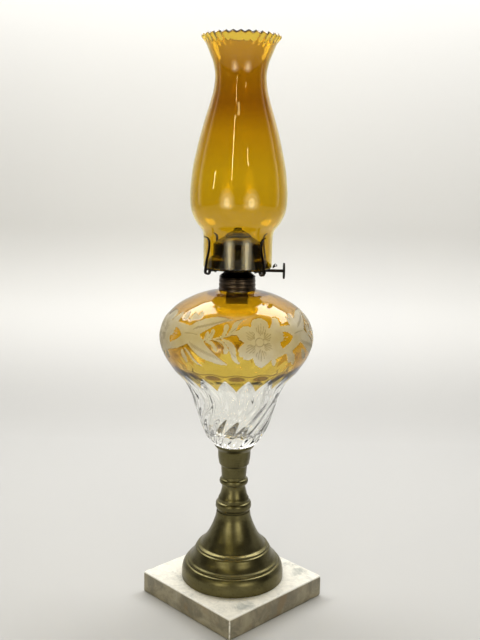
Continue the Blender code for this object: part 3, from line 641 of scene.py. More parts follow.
SPRAY = (((73.4, 0.8), (74.2, 6.0), (74.9, 9.9), (76.2, 10.7), (77.8, 9.0), (79.0, 6.7), (78.4, 2.6)),
         ((77.6, 1.3), (79.2, 6.7), (80.0, 11.0), (81.4, 13.6), (83.5, 13.2), (84.7, 10.6), (83.9, 7.0), (81.8, 3.4)),
         ((86.9, 3.2), (92.1, 6.9), (94.2, 10.8), (94.0, 16.1), (94.6, 19.9), (96.8, 20.9), (99.3, 18.9), (99.8, 15.8), (98.8, 12.2),
          (97.3, 9.0), (94.0, 5.6)),
         ((98.1, 7.0), (101.5, 12.9), (103.4, 18.3), (106.4, 22.8), (111.7, 26.0), (121.0, 27.2), (115.4, 24.6), (111.6, 20.5),
          (109.0, 15.4), (106.3, 11.7), (102.6, 7.4)),
         ((74.4, -0.5), (79.5, 0.6), (83.9, -0.9), (86.8, -4.3), (89.2, -8.1), (88.2, -9.9), (86.1, -9.0), (84.4, -6.2), (81.4, -3.3),
          (77.1, -2.0)),
         ((83.0, 1.8), (90.3, 2.4), (96.2, -0.6), (99.0, -4.3), (100.6, -8.6), (99.0, -12.1), (96.2, -11.8), (95.3, -9.0), (95.9, -5.5),
          (93.7, -1.9), (89.3, 0.5)),
         ((92.0, 4.1), (98.9, 2.6), (105.1, -1.3), (108.2, -7.0), (108.5, -13.5), (110.2, -18.8), (113.6, -23.0), (108.5, -22.1),
          (105.0, -17.6), (102.3, -9.9), (100.7, -5.3), (97.0, -0.7)))
STEM = ((73.0, 0.5), (80.4, 1.9), (86.9, 3.3), (93.3, 5.2), (99.7, 7.2), (106.1, 9.8), (112.7, 11.6))
SPRIGS_A = (((16.0, 15.4), (20.4, 21.7), (24.2, 26.9), (27.3, 27.4), (31.0, 25.0), (30.7, 20.4), (28.4, 15.4)),
            ((45.6, 14.4), (45.4, 20.0), (45.6, 24.6), (47.9, 25.2), (50.0, 22.6), (51.6, 18.0), (52.0, 14.6)),
            ((51.0, 14.4), (51.2, 20.6), (52.4, 27.4), (55.4, 29.2), (58.6, 27.6), (59.2, 22.0), (57.2, 17.0)),
            ((13.6, -19.6), (14.6, -23.6), (17.2, -27.6), (19.3, -25.9), (19.0, -20.2)),
            ((32.6, -14.0), (33.8, -20.6), (37.6, -26.4), (40.6, -25.6), (41.2, -20.4), (39.6, -13.0)),
            ((38.6, -17.6), (40.4, -24.6), (45.4, -31.0), (47.4, -27.6), (45.8, -21.4), (42.6, -16.4)),
            ((55.0, -13.0), (58.4, -20.2), (63.8, -26.4), (67.6, -26.2), (64.6, -20.0), (60.2, -15.0)))
SPRIGS_B = (((45.8, 20.6), (45.0, 26.4), (45.6, 31.0), (49.4, 31.4), (53.8, 28.4), (54.6, 23.0)),
            ((54.8, 23.0), (54.8, 29.6), (56.4, 34.6), (59.8, 32.6), (61.9, 28.2), (60.2, 23.8)),
            ((34.9, 20.4), (33.4, 26.6), (35.1, 32.0), (38.9, 27.6), (41.1, 21.2)),
            ((49.6, -9.8), (54.4, -11.8), (58.4, -16.2), (62.6, -21.6), (67.3, -26.0), (72.0, -29.0), (66.0, -27.6), (60.6, -23.4),
             (56.2, -17.4), (52.2, -13.0)),
            ((46.6, -11.4), (50.6, -16.4), (52.6, -22.6), (51.4, -27.8), (47.6, -23.6), (45.4, -17.4)),
            ((15.6, 15.6), (17.4, 22.6), (22.0, 27.8), (26.4, 26.6), (27.4, 20.4), (26.8, 15.6)),
            ((14.2, -19.6), (14.8, -24.2), (18.2, -28.6), (20.6, -25.4), (19.8, -19.8)))


def motif(odd):
    """One repeat of the engraving, a quarter of the way round: outlines, the window left between
    the crescents, fine lines and the stem."""
    solid = [closed_curve(BLOOM_AND_BIRD, 5)] + [closed_curve(p, 6) for p in SPRAY]
    solid += [closed_curve(p, 6) for p in (SPRIGS_B if odd else SPRIGS_A)]
    lines = []
    for i, (px, py) in enumerate(((5.2, 21.5), (-14.5, 11.5), (-15.0, -10.5), (2.2, -21.5), (14.0, -8.0), (14.5, 8.0))):
        a = math.atan2(py, px)
        L = math.hypot(px, py)
        for da, r0, r1 in ((0.0, 0.34, 0.98), (0.17, 0.42, 0.86), (-0.17, 0.42, 0.86), (0.34, 0.5, 0.74), (-0.34, 0.5, 0.74)):
            b = a + da
            bow = 0.10 * da * L
            p0, p1 = np.array((math.cos(b), math.sin(b))) * L * r0, np.array((math.cos(b), math.sin(b))) * L * r1
            m = (p0 + p1) / 2 + np.array((-math.sin(b), math.cos(b))) * bow
            lines.append(open_curve([p0, m, p1], 5))
    t = np.linspace(0, 2 * math.pi, 34)
    lines.append(np.c_[4.6 * np.cos(t), 4.6 * np.sin(t)])
    for t in np.linspace(0.08, 0.92, 11):
        x = 58.0 + 42.0 * t
        lines.append(open_curve([(x - 4.0, 9.5 + 14.5 * t), (x + 1.5, 14.5 + 13.5 * t)], 2))
        lines.append(open_curve([(x - 5.0, -2.0 - 15.5 * t), (x - 0.5, -7.5 - 15.5 * t)], 2))
    lines.append(open_curve([(47, 5.0), (56, 6.0), (64, 5.6)], 5))
    for p in SPRAY:
        q = np.asarray(p)
        k0, k1 = q[0], q[len(q) // 2]
        lines.append(open_curve([k0 * 0.8 + k1 * 0.2, (k0 + k1) / 2, k0 * 0.25 + k1 * 0.75], 4))
    return solid, closed_curve(WINDOW, 5), lines, open_curve(STEM, 6)


def build_font():
    seg = RIBS * 26                        # 468 round; a multiple of 4
    path = smooth_path(FONT_OUTER, 0.9, 2.2)
    path[0], path[-1] = FONT_OUTER[0], FONT_OUTER[-1]
    s0 = chord(path)
    th = np.arange(seg) * 2 * math.pi / seg
    S = np.repeat(s0[:, None], seg, 1)
    R = np.repeat(path[:, 0][:, None], seg, 1)
    Z = np.repeat(path[:, 1][:, None], seg, 1)
    T = np.repeat(th[None], len(path), 0)
    az = np.degrees((T - FRONT + math.pi) % (2 * math.pi) - math.pi)      # bearing seen from the front

    # twisted flutes, ending in arches at the shoulder of the clear part
    pitch = 360.0 / RIBS
    lean = np.interp(Z, [189, 200, 213, 229, 240, 247, 256, 266, 284], [-44, -33, -22, -7.7, 3.4, 6.4, 5.0, 1.2, 1.2])
    w = 13
    lean_p = np.interp(path[:, 1], [189, 200, 213, 229, 240, 247, 256, 266, 284], [-44, -33, -22, -7.7, 3.4, 6.4, 5.0, 1.2, 1.2])
    kern = np.hanning(w + 2)[1:-1]
    kern /= kern.sum()
    lean_p = np.convolve(np.pad(lean_p, w // 2, mode="edge"), kern, "valid")
    lean = np.repeat(lean_p[:, None], seg, 1)
    u = ((az - lean) / pitch) % 1.0 - 0.5                                  # 0 = middle of a flute, +-0.5 = ridge
    au = np.abs(2 * u)
    top = 281.6 - 15.6 * au ** 1.22
    stain = Z - top                                                        # mm above the arch
    run = np.clip((top - Z) / 22.0, 0, 1)
    run = run * run * (3 - 2 * run)
    deep = np.interp(Z, [189, 193, 199, 212, 235, 256, 285], [0.0, 0.4, 1.0, 1.5, 1.6, 1.2, 0.9])
    flute = deep * (0.5 + 0.5 * np.cos(math.pi * au)) * run + 0.22 * np.clip((top - Z) / 2.4, 0, 1) * np.interp(Z, [189, 200, 215], [0, 0.3, 1])
    # painted shade: a dark brown lens above each tooth, and a dark line along the edge of the plain band, stand in for
    # the dark room seen by internal reflection
    off = (1 - au) * pitch / 2 * math.pi / 180 * R
    lens = np.sqrt((off / 7.0) ** 2 + ((Z - 284.6 + 0.012 * off ** 2) / 2.5) ** 2)
    rim = np.abs(Z - 288.2 + 1.1 * np.cos(2 * math.pi * u)) / 0.8
    SHADE_AND_COLLAR = np.clip(1.5 - lens, 0, 1) + 0.45 * np.clip(1.2 - rim, 0, 1)
    # and a heavy collar of colour on the shoulder just outside the neck
    SHADE_AND_COLLAR = SHADE_AND_COLLAR + 0.85 * np.exp(-((R - 29.5 - 1.5 * np.sin(3 * T)) / 4.2) ** 2) * (Z > 345)

    # engraving, repeated four times round, with two versions of the small sprigs
    per_mm = 85.0 * math.pi / 180.0
    wide = 90.0 * per_mm
    mid_s = np.interp(326.6, path[:, 1], s0)
    turn = (az[0] - 17.0 + 30.0) % 360.0
    order = np.argsort(turn)
    quarter = seg // 4
    rows = np.where((s0 - mid_s > -40) & (s0 - mid_s < 42))[0]
    CUT = np.full(Z.shape, 3.0)
    LINE = np.full(Z.shape, 3.0)
    kinds = [motif(False), motif(True)]
    for r4 in range(4):
        cols = order[r4 * quarter:(r4 + 1) * quarter]
        x = (turn[cols] - 30.0) * per_mm
        q = np.stack(np.broadcast_arrays(x[None, :], (s0[rows] - mid_s)[:, None]), -1).reshape(-1, 2)
        cut = np.full(len(q), 3.0)
        hole = np.full(len(q), 3.0)
        line = np.full(len(q), 3.0)
        for k4 in (-1, 0, 1):
            which = (r4 + k4) % 4
            solid, window, lines, stem_line = kinds[which % 2]
            qq = q - ((r4 + k4) * wide, 0)
            if which == 2:                                    # the far side is plain
                continue
            if which == 1:                                    # and the bloom beside it stands alone
                cut = np.minimum(cut, np.maximum(sdf(qq, solid[0]), np.hypot(qq[:, 0], qq[:, 1]) - 25.0))
                continue
            for poly in solid:
                cut = np.minimum(cut, sdf(qq, poly))
            hole = np.minimum(hole, sdf(qq, window))
            for ln, grow in [(l, None) for l in lines] + [(stem_line, 0.8)]:
                lo, hi = ln.min(0) - 2, ln.max(0) + 2
                near = ((qq > lo) & (qq < hi)).all(1)
                if near.any():
                    d = seg_dist(qq[near], ln, False)
                    if grow is None:
                        line[near] = np.minimum(line[near], d)
                    else:
                        cut[near] = np.minimum(cut[near], d - grow)
        cut = np.maximum(cut, -hole)
        CUT[np.ix_(rows, cols)] = cut.reshape(len(rows), quarter)
        LINE[np.ix_(rows, cols)] = line.reshape(len(rows), quarter)
    # petals and leaves have finely toothed edges
    CUT = CUT + 0.55 * np.sin(T * 104) * np.sin(S * 1.25) * (np.abs(CUT) < 1.6)
    LINE = np.where(CUT < -0.3, LINE, 3.0)
    sink = 0.38 * np.clip((0.35 - CUT) / 0.9, 0, 1) + 0.16 * np.clip(1 - LINE / 0.8, 0, 1)

    tan = np.gradient(path, axis=0)
    tan /= np.hypot(tan[:, 0], tan[:, 1])[:, None]
    nr, nz = -tan[:, 1], tan[:, 0]                                         # points inwards
    move = flute + sink
    Ro, Zo = R + nr[:, None] * move, Z + nz[:, None] * move
    outer = np.stack([Ro * np.cos(T), Ro * np.sin(T), Zo], -1)

    # closed shell: outer wall, neck, inside wall, peg
    seg_in = seg
    wall = np.interp(path[:, 1], [189, 215, 262, 285, 368], [9.0, 7.6, 6.6, 4.2, 3.4])
    inner = offset(path, wall)
    inner = inner[(inner[:, 0] > 17.8) & (inner[:, 1] > 207.0)]
    inner = smooth_path(inner[::3], 2.4)
    floor_c = [(inner[0][0] * c, 203.0 + (inner[0][1] - 203.0) * (1 - math.sqrt(max(0, 1 - c * c)))) for c in (0.02, 0.2, 0.4, 0.6, 0.78, 0.9, 0.97)]
    inside_path = np.array(floor_c + [tuple(p) for p in inner] + [(17.0, 365.4), (17.0, 366.4), (17.0, 372.0), (17.0, 379.6)])
    peg = np.array([(0.02 * 15.2, 176.5), (6, 176.5), (13.7, 176.5), (14.8, 176.9), (15.2, 178.0), (15.2, 184.9), (18.2, 187.0)])
    neck = np.array([(18.7, 371.0), (18.7, 379.6)])
    rows_before = peg
    rows_after = np.vstack([neck, inside_path[::-1]])
    def ring_pts(pr):
        rr = np.repeat(pr[:, 0][:, None], seg, 1)
        zz_ = np.repeat(pr[:, 1][:, None], seg, 1)
        tt = np.repeat(th[None], len(pr), 0)
        return np.stack([rr * np.cos(tt), rr * np.sin(tt), zz_], -1)
    P = np.vstack([ring_pts(rows_before), outer, ring_pts(rows_after)])
    nb, no, na = len(rows_before), len(path), len(rows_after)
    total = nb + no + na
    faces = grid_faces(total, seg)
    verts = P.reshape(-1, 3) * MM
    # end caps at the two poles
    faces.append(tuple(range(seg))[::-1])
    faces.append(tuple(range((total - 1) * seg, total * seg)))
    fm = np.zeros(len(faces), np.int32)
    quad_row = np.repeat(np.arange(total - 1), seg)
    fm[:len(quad_row)] = np.where((quad_row >= nb - 1) & (quad_row < nb + no), 0, 1)
    fm[len(quad_row)] = 1
    fm[len(quad_row) + 1] = 1
    ob = new_object("font_blown", verts, faces, [m_font, m_font_in], angle=38, face_mat=fm)
    # the deep attribute carries the painted shade bands and the dark shoulder collar
    for nm, val, fill in (("stain", stain, 5.0), ("cut", CUT, 3.0), ("line", LINE, 3.0), ("deep", SHADE_AND_COLLAR, 0.0)):
        full = np.full((total, seg), fill, np.float32)
        full[nb:nb + no] = val
        if nm == "stain":
            full[:nb] = -5.0
        at = ob.data.attributes.new(nm, 'FLOAT', 'POINT')
        at.data.foreach_set("value", full.ravel())
    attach(ob, "stand")
    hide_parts("font")
    return ob


build_font()

# ------------------------------------------------------------------ collar
collar_out = [(20.75, 368.8), (20.85, 369.6), (20.75, 370.6), (20.3, 371.4), (20.05, 372.0), (20.3, 372.6), (20.55, 373.4), (20.6, 374.6),
              (20.4, 375.7), (20.05, 376.5), (20.2, 377.1), (20.42, 377.9), (20.45, 379.2), (20.3, 380.2), (19.95, 380.9), (20.1, 381.4),
              (20.1, 382.1), (19.7, 382.5)]
co = smooth_path(collar_out, 0.22, 0.18)
ob = turned("collar_spun", np.r_[co, [(16.3, 382.5), (15.95, 382.2), (15.95, 372.2), (16.6, 372.2), (16.6, 381.6), (19.2, 381.6), (19.2, 368.8)]],
            144, m_collar, angle=35)
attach(ob, "stand"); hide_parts("collar")

# ------------------------------------------------------------------ burner
cone_out = smooth_path([(19.9, 382.8), (20.2, 383.1), (20.2, 383.8), (19.2, 384.9), (16.2, 387.4), (14.7, 388.9), (14.4, 390.0), (14.4, 392.7)], 0.3, 0.15)
cone_in = [(13.7, 392.7), (13.9, 388.6), (18.7, 383.7), (18.8, 382.8)]
ob = turned("burner_cone_spun", np.r_[cone_out, cone_in], 144, m_burner, angle=35)
sh = V * SHAFT_OFF + Vector((0, 0, SHAFT_Z))
subtract(ob, [cyl(2.2, sh, sh + U * 30, 32)])
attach(ob, "burner"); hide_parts("burner_cone")

deck_prof = [(13.8, 393.2), (36.2, 393.2), (36.8, 393.4), (37.0, 393.85), (36.8, 394.3), (36.2, 394.5), (13.8, 394.5)]
ob = turned("gallery_plate", deck_prof, 160, m_burner, angle=35)
holes = []
for i in range(24):
    a = 2 * math.pi * i / 24
    for rr, hr in ((22.0, 1.5), (27.2, 1.7)):
        aa = a + (math.pi / 24 if rr > 25 else 0)
        holes.append(cyl(hr, (rr * math.cos(aa), rr * math.sin(aa), 390), (rr * math.cos(aa), rr * math.sin(aa), 397), 16))
bm = bmesh.new()
for h in holes:
    bm.from_mesh(h.data)
    bpy.data.objects.remove(h, do_unlink=True)
me = bpy.data.meshes.new("holes")
bm.to_mesh(me); bm.free()
hc = bpy.data.objects.new("holes", me); coll.objects.link(hc)
subtract(ob, [hc])
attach(ob, "burner"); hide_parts("gallery_deck")

skirt_out = smooth_path([(35.2, 394.8), (34.7, 396.4), (33.0, 400.6), (32.0, 403.0), (31.3, 404.0), (29.6, 405.0), (27.9, 405.9)], 0.35, 0.3)
skirt_in = offset(skirt_out, 0.8)[::-1]
ob = turned("air_skirt_spun", np.r_[skirt_out, skirt_in], 160, m_burner, angle=35)
holes = []
for i in range(40):
    a = 2 * math.pi * i / 40
    p = Vector((33.4 * math.cos(a), 33.4 * math.sin(a), 399.4))
    q = Vector((math.cos(a), math.sin(a), 0.35))
    holes.append(cyl(1.0, p - q * 4, p + q * 4, 12))
bm = bmesh.new()
for h in holes:
    bm.from_mesh(h.data)
    bpy.data.objects.remove(h, do_unlink=True)
me = bpy.data.meshes.new("holes2")
bm.to_mesh(me); bm.free()
hc = bpy.data.objects.new("holes2", me); coll.objects.link(hc)
subtract(ob, [hc])
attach(ob, "burner"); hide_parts("air_skirt")


def build_deflector():
    n = 160
    th = np.arange(n) * 2 * math.pi / n
    rows = []
    def put(z, r_end, r_broad):
        w = np.cos(th) ** 2
        r = r_end * w + r_broad * (1 - w)
        c, s = r * np.cos(th), r * np.sin(th)
        rows.append(np.c_[U.x * c + V.x * s, U.y * c + V.y * s, np.full(n, z)])
    def shell(t):
        out = [(406.3, 27.4 - t, 27.4 - t), (406.6, 27.75 - t, 27.75 - t), (407.3, 27.75 - t, 27.75 - t), (407.7, 27.4 - t, 27.4 - t)]
        out += [(z, 27.4 - t, 27.4 - t) for z in np.linspace(408.2, 419.4, 8)]
        for v in np.linspace(0, 1, 16):
            z = 419.9 + 8.6 * v - 0.7 * t * v
            r_end = 27.3 - (27.3 - 15.0) * (v ** 1.12)
            r_broad = 27.4 - (27.4 - 17.8) * v ** 3.2
            out.append((z, r_end - t, r_broad - t))
        out.append((428.75 - 0.6 * t, 14.4 - t, 14.4 - t))
        return out
    for z, a, b in shell(0.0):
        put(z, a, b)
    for z, a, b in shell(0.8)[::-1]:
        put(z, a, b)
    verts = np.vstack(rows) * MM
    ob = new_object("deflector_drawn", verts, grid_faces(len(rows), n, True), m_burner, angle=38)
    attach(ob, "burner"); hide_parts("deflector")


build_deflector()
cap_out = smooth_path([(14.6, 429.3), (14.75, 429.9), (14.6, 430.5), (13.4, 431.1), (12.4, 432.0), (11.0, 433.3), (8.6, 434.9), (5.4, 436.2),
                       (2.4, 436.8), (0.05, 436.9)], 0.35, 0.2)
cap_in = offset(cap_out, 0.8)[::-1]
cap_in[0] = (0.05, 436.1)
cap_in[:, 0] = np.maximum(cap_in[:, 0], 0.05)
ob = turned("deflector_cap_drawn", np.r_[cap_out, cap_in], 128, m_burner, angle=35)
bm = bmesh.new()
bmesh.ops.create_cube(bm, size=1.0)
bmesh.ops.scale(bm, vec=(26.4 * MM, 5.2 * MM, 40 * MM), verts=bm.verts)
bmesh.ops.bevel(bm, geom=[e for e in bm.edges if abs(e.verts[0].co.z - e.verts[1].co.z) > 0.01], offset=2.3 * MM, segments=6, affect='EDGES')
bmesh.ops.transform(bm, matrix=uvz((0, 0, 440)), verts=bm.verts)
me = bpy.data.meshes.new("slot"); bm.to_mesh(me); bm.free()
sc = bpy.data.objects.new("slot", me); coll.objects.link(sc)
subtract(ob, [sc])
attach(ob, "burner"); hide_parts("deflector_cap")


def axle_turned(name, prof, n, mat, s, tooth=None):
    """Revolves (x along the shaft, r) about the shaft's axis; tooth(theta, r) may modulate r."""
    prof = np.asarray(prof, float)
    th = np.arange(n) * 2 * math.pi / n
    P = []
    for x, r in prof:
        rr = np.full(n, r)
        if tooth is not None:
            rr = tooth(th, rr, x)
        P.append(np.c_[np.full(n, x), rr * np.cos(th), rr * np.sin(th)])
    P = np.vstack(P)
    M = uvz(V * SHAFT_OFF + U * s + Vector((0, 0, SHAFT_Z)))
    P = np.array([M @ (Vector(p) * MM) for p in P])
    return new_object(name, P, grid_faces(len(prof), n, True), mat, angle=40)


TEETH = 36
wheel_prof = [(-1.1, 2.05), (-1.1, 6.6), (-0.75, 7.2), (-1.0, 8.0), (-0.7, 8.75), (0.7, 8.75), (1.0, 8.0), (0.75, 7.2), (1.1, 6.6), (1.1, 2.05)]
wheel_prof = [(-1.1, 2.05), (-1.1, 3.6), (-0.55, 4.3), (-0.55, 6.9), (-1.05, 7.5), (-1.1, 8.3), (-0.75, 8.85), (0.75, 8.85), (1.1, 8.3),
              (1.05, 7.5), (0.55, 6.9), (0.55, 4.3), (1.1, 3.6), (1.1, 2.05)]
ob = axle_turned("thumbwheel_milled", wheel_prof, TEETH * 8, m_winder, 51.5,
                 tooth=lambda t, r, x: r - np.where(r > 8.2, 0.34 * (0.5 + 0.5 * np.cos(TEETH * t)) ** 2, 0.0))
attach(ob, "winder"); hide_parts("thumbwheel")
shaft_prof = [(-9.6, 0.05), (-9.6, 1.2), (-9.3, 1.7), (26.0, 1.7), (26.4, 1.66), (48.2, 1.66), (48.3, 1.7), (52.5, 1.7), (52.8, 1.2), (52.8, 0.05)]
ob = axle_turned("wick_shaft_turned", shaft_prof, 48, m_winder, 0.0)
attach(ob, "winder"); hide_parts("wick_shaft")


# ------------------------------------------------------------------ spring prongs
def build_prong(k, deg):
    er = Vector((math.cos(math.radians(deg)), math.sin(math.radians(deg)), 0))
    et = Vector((er.y, -er.x, 0))
    M = uvz((0, 0, 0), along=er, side=et)
    LR, C, Zc, W, T2 = 2.9, 41.9, 392.2, 1.9, 0.8
    a = np.radians(np.linspace(-335, 0, 44))
    coil = np.c_[C + LR * np.cos(a), Zc + LR * np.sin(a)]
    strip = smooth_path([(C + LR, Zc + 0.3), (44.3, 397.5), (42.9, 405.0), (40.8, 413.0), (39.75, 420.0), (39.95, 424.5), (41.4, 427.6),
                         (44.0, 429.4), (46.6, 430.2)], 0.8, 0.6)
    mid = np.vstack([coil, strip[1:]])
    t = np.gradient(mid, axis=0)
    t /= np.hypot(t[:, 0], t[:, 1])[:, None]
    nrm = np.c_[-t[:, 1], t[:, 0]]
    n = len(mid)
    frac = np.clip((np.arange(n) - len(coil)) / (n - len(coil)), 0, 1)
    half = W * (1 - 0.18 * frac)
    half[-1] *= 0.55
    half[-2] *= 0.85
    thick = np.where(np.arange(n) < len(coil), T2, T2 - (T2 - 0.5) * np.clip(frac * 3, 0, 1))
    # rounded rectangle section
    sec = [(-1, -0.55), (-0.86, -1), (0.86, -1), (1, -0.55), (1, 0.55), (0.86, 1), (-0.86, 1), (-1, 0.55)]
    P = []
    for i in range(n):
        for y, h in sec:
            x = mid[i, 0] + nrm[i, 0] * h * thick[i]
            z = mid[i, 1] + nrm[i, 1] * h * thick[i]
            P.append(M @ (Vector((x, y * half[i], z)) * MM))
    faces = grid_faces(n, len(sec))
    faces.append(tuple(range(len(sec)))[::-1])
    faces.append(tuple(range((n - 1) * len(sec), n * len(sec))))
    ob = new_object("prong_spring_%d" % k, P, faces, m_burner, angle=50)
    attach(ob, "prong_%d" % k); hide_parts("prong_%d" % k)


for i, deg in enumerate(PRONG_DIRS):
    build_prong(i + 1, deg)


# ------------------------------------------------------------------ chimney
def build_chimney():
    crimps = 32
    seg = crimps * 16
    out = smooth_path(CHIM_OUTER, 1.1, 2.0)
    out[0], out[-1] = CHIM_OUTER[0], CHIM_OUTER[-1]
    s = chord(out)
    wall = np.interp(out[:, 1], [395, 440, 600, 640.5], [2.2, 2.0, 2.0, 2.3])
    inn = offset(out, wall)
    inn[0] = (35.95, 394.9)
    lip = [(out[-1][0] - 0.35, out[-1][1] + 0.55), (out[-1][0] - 1.1, out[-1][1] + 0.75), (inn[-1][0] + 0.5, inn[-1][1] + 0.5)]
    foot = [(36.4, 394.6), (37.7, 394.6)]
    prof = np.vstack([out, lip, inn[::-1], foot])
    n_up = len(out)

    def crimp(T, R, Z):
        w = np.clip((Z - 631.0) / (640.5 - 631.0), 0, 1)
        c = np.cos(crimps * T)
        w = w * w * (3 - 2 * w)
        return R - 0.25 * w * c, Z + w * (0.85 * c - 0.4)
    ob = turned("chimney_blown", prof, seg, m_chimney, angle=180, shape=crimp)
    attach(ob, "chimney"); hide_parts("chimney")


build_chimney()

# ------------------------------------------------------------------ wick: a woven strip, charred at the top
def build_wick():
    W, T, Z0, Z1 = 24.6, 2.8, 352.0, 433.6
    nx, nz = 50, 170
    xs = np.linspace(-W / 2, W / 2, nx)
    zs = np.linspace(Z0, Z1, nz)
    P, faces = [], []
    rng = np.random.default_rng(3)
    fray = rng.normal(0, 0.22, (2, nx))
    def h(x, z):
        rib = np.abs(np.sin(x / W * math.pi * 12)) ** 0.7
        cross = 0.5 + 0.5 * np.sin(z * 2 * math.pi / 1.3 + math.pi * np.floor(x / W * 12 + 6))
        edge = np.clip((W / 2 - np.abs(x)) / 1.2, 0, 1) ** 0.5
        return (T / 2 - 0.42 + 0.26 * rib + 0.14 * cross) * (0.45 + 0.55 * edge)
    for side in (1, -1):
        for i, z in enumerate(zs):
            for j, x in enumerate(xs):
                zz_ = z + (fray[0 if side > 0 else 1, j] if i == nz - 1 else 0) - (0.25 if i == nz - 1 else 0)
                P.append((x, side * h(x, z), zz_))
    for sgn, base in ((0, 0), (1, nx * nz)):
        for i in range(nz - 1):
            for j in range(nx - 1):
                a = base + i * nx + j
                f = (a, a + 1, a + nx + 1, a + nx)
                faces.append(f if sgn == 0 else f[::-1])
    o = nx * nz
    for i in range(nz - 1):
        faces.append((i * nx, (i + 1) * nx, o + (i + 1) * nx, o + i * nx))
        faces.append((i * nx + nx - 1, o + i * nx + nx - 1, o + (i + 1) * nx + nx - 1, (i + 1) * nx + nx - 1))
    for j in range(nx - 1):
        faces.append((j, o + j, o + j + 1, j + 1))
        t = (nz - 1) * nx
        faces.append((t + j, t + j + 1, o + t + j + 1, o + t + j))
    M = uvz((0, 0, 0))
    ob = new_object("wick_woven", [M @ (Vector(p) * MM) for p in P], faces, m_wick, angle=60)
    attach(ob, "wick"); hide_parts("wick")


build_wick()

# ------------------------------------------------------------------ CAD nodes that stay, with their materials
keep = {"tie_rod": m_steel, "base_washer": m_steel, "base_nut": m_steel, "socket_nut": m_steel,
        "socket_plaster": m_plaster, "collar_cement": m_plaster, "burner_thread": m_thread,
        "wick_tube": m_burner, "shaft_bracket": m_winder, "gallery_lug": m_winder,
        "spur_wheel_1": m_winder, "spur_wheel_2": m_winder}
for i in range(1, 5):
    keep["prong_tail_%d" % i] = m_burner
    keep["prong_rivet_%d" % i] = m_burner
for node, mat in keep.items():
    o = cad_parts[node]
    o.data.materials.clear()
    o.data.materials.append(mat)
    if node not in ("tie_rod",):
        o.data.shade_smooth()
        o.data.set_sharp_from_angle(angle=math.radians(35))
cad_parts["tie_rod"].data.shade_smooth()
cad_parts["tie_rod"].data.set_sharp_from_angle(angle=math.radians(35))

# ------------------------------------------------------------------ stage
def stage_material(name, lo, hi):
    k = Nodes(name)
    cloud = k.ramp(k.noise(1.1, 2, 0.4), [(0.35, lo), (0.65, hi)])
    return k.set(Base_Color=k.mix(k.smooth(sep_z(k), 0.0, 0.20, 1.0, 0.0), cloud, (0.49, 0.485, 0.47)), Roughness=0.85)


def build_stage():
    """One sheet: floor in front, curving up behind into a plain wall."""
    m = stage_material("backdrop_pale", (0.87, 0.865, 0.85), (0.90, 0.895, 0.88))
    fwd = Vector((-math.sin(VIEW_AZ), math.cos(VIEW_AZ), 0))
    side = Vector((math.cos(VIEW_AZ), math.sin(VIEW_AZ), 0))
    prof = [(-3.2, 0.0), (0.55, 0.0)]
    R = 0.35
    for i in range(1, 13):
        a = math.pi / 2 * i / 12
        prof.append((0.55 + R * math.sin(a), R - R * math.cos(a)))
    prof.append((0.55 + R, 2.6))
    verts, faces = [], []
    for d, z in prof:
        for sx in (-2.6, 2.6):
            verts.append(fwd * d + side * sx + Vector((0, 0, z - 0.0002)))
    for i in range(len(prof) - 1):
        a = 2 * i
        faces.append((a, a + 1, a + 3, a + 2))
    ob = new_object("backdrop", verts, faces, m, angle=180)


build_stage()


def area(name, bearing, elev, dist, w, h, power, colour=(1, 1, 1), aim=(0, 0, 0.36)):
    """A soft light at a bearing from the camera's direction (degrees, + to the right)."""
    a = FRONT + math.radians(bearing)
    e = math.radians(elev)
    aim = Vector(aim)
    pos = aim + Vector((math.cos(a) * math.cos(e), math.sin(a) * math.cos(e), math.sin(e))) * dist
    d = bpy.data.lights.new(name, 'AREA')
    d.shape = 'RECTANGLE'
    d.size, d.size_y, d.energy, d.color = w, h, power, colour
    ob = bpy.data.objects.new(name, d)
    coll.objects.link(ob)
    ob.location = pos
    ob.rotation_euler = (aim - pos).to_track_quat('-Z', 'Y').to_euler()
    return ob


def soft_panel(name, bearing, width, z0, z1, dist, glow, colour=(1, 1, 1)):
    """A frosted panel that is brightest in its middle: nested ellipses of light. glow is the
    radiance of each ring from the outside in."""
    a = FRONT + math.radians(bearing)
    h = z1 - z0
    for i, (share, g) in enumerate(zip((1.0, 0.72, 0.36), glow)):
        d = bpy.data.lights.new(name, 'AREA')
        d.shape = 'ELLIPSE'
        d.size, d.size_y, d.color = width * share, h * share, colour
        d.energy = g * math.pi * (math.pi / 4 * d.size * d.size_y)
        ob = bpy.data.objects.new("%s_%d" % (name, i), d)
        coll.objects.link(ob)
        pos = Vector((math.cos(a), math.sin(a), 0)) * (dist - 0.002 * i) + Vector((0, 0, (z0 + z1) / 2))
        ob.location = pos
        ob.rotation_euler = (Vector((0, 0, (z0 + z1) / 2)) - pos).to_track_quat('-Z', 'Y').to_euler()


soft_panel("panel_left", -27, 0.74, 0.06, 0.60, 1.10, (0.8, 1.5, 4.2), (1.0, 0.95, 0.80))
soft_panel("panel_right", 30, 0.78, 0.06, 0.60, 1.10, (0.8, 1.5, 4.2), (1.0, 0.95, 0.80))


def strip(name, bearing, z0, z1, dist, width, glow, tilt=0.0):
    """A thin bright tube off to one side; it draws the fine streaks on the glass."""
    a = FRONT + math.radians(bearing)
    d = bpy.data.lights.new(name, 'AREA')
    d.shape, d.size, d.size_y = 'RECTANGLE', width, z1 - z0
    d.energy = glow * math.pi * d.size * d.size_y
    d.color = (1.0, 0.90, 0.48)
    ob = bpy.data.objects.new(name, d)
    coll.objects.link(ob)
    aim = Vector((0, 0, 0.5))
    pos = Vector((math.cos(a), math.sin(a), 0)) * dist + Vector((0, 0, (z0 + z1) / 2))
    ob.location = pos
    q = (aim - pos).to_track_quat('-Z', 'Y')
    ob.rotation_euler = (q.to_matrix().to_4x4() @ Matrix.Rotation(math.radians(tilt), 4, 'Z')).to_euler()


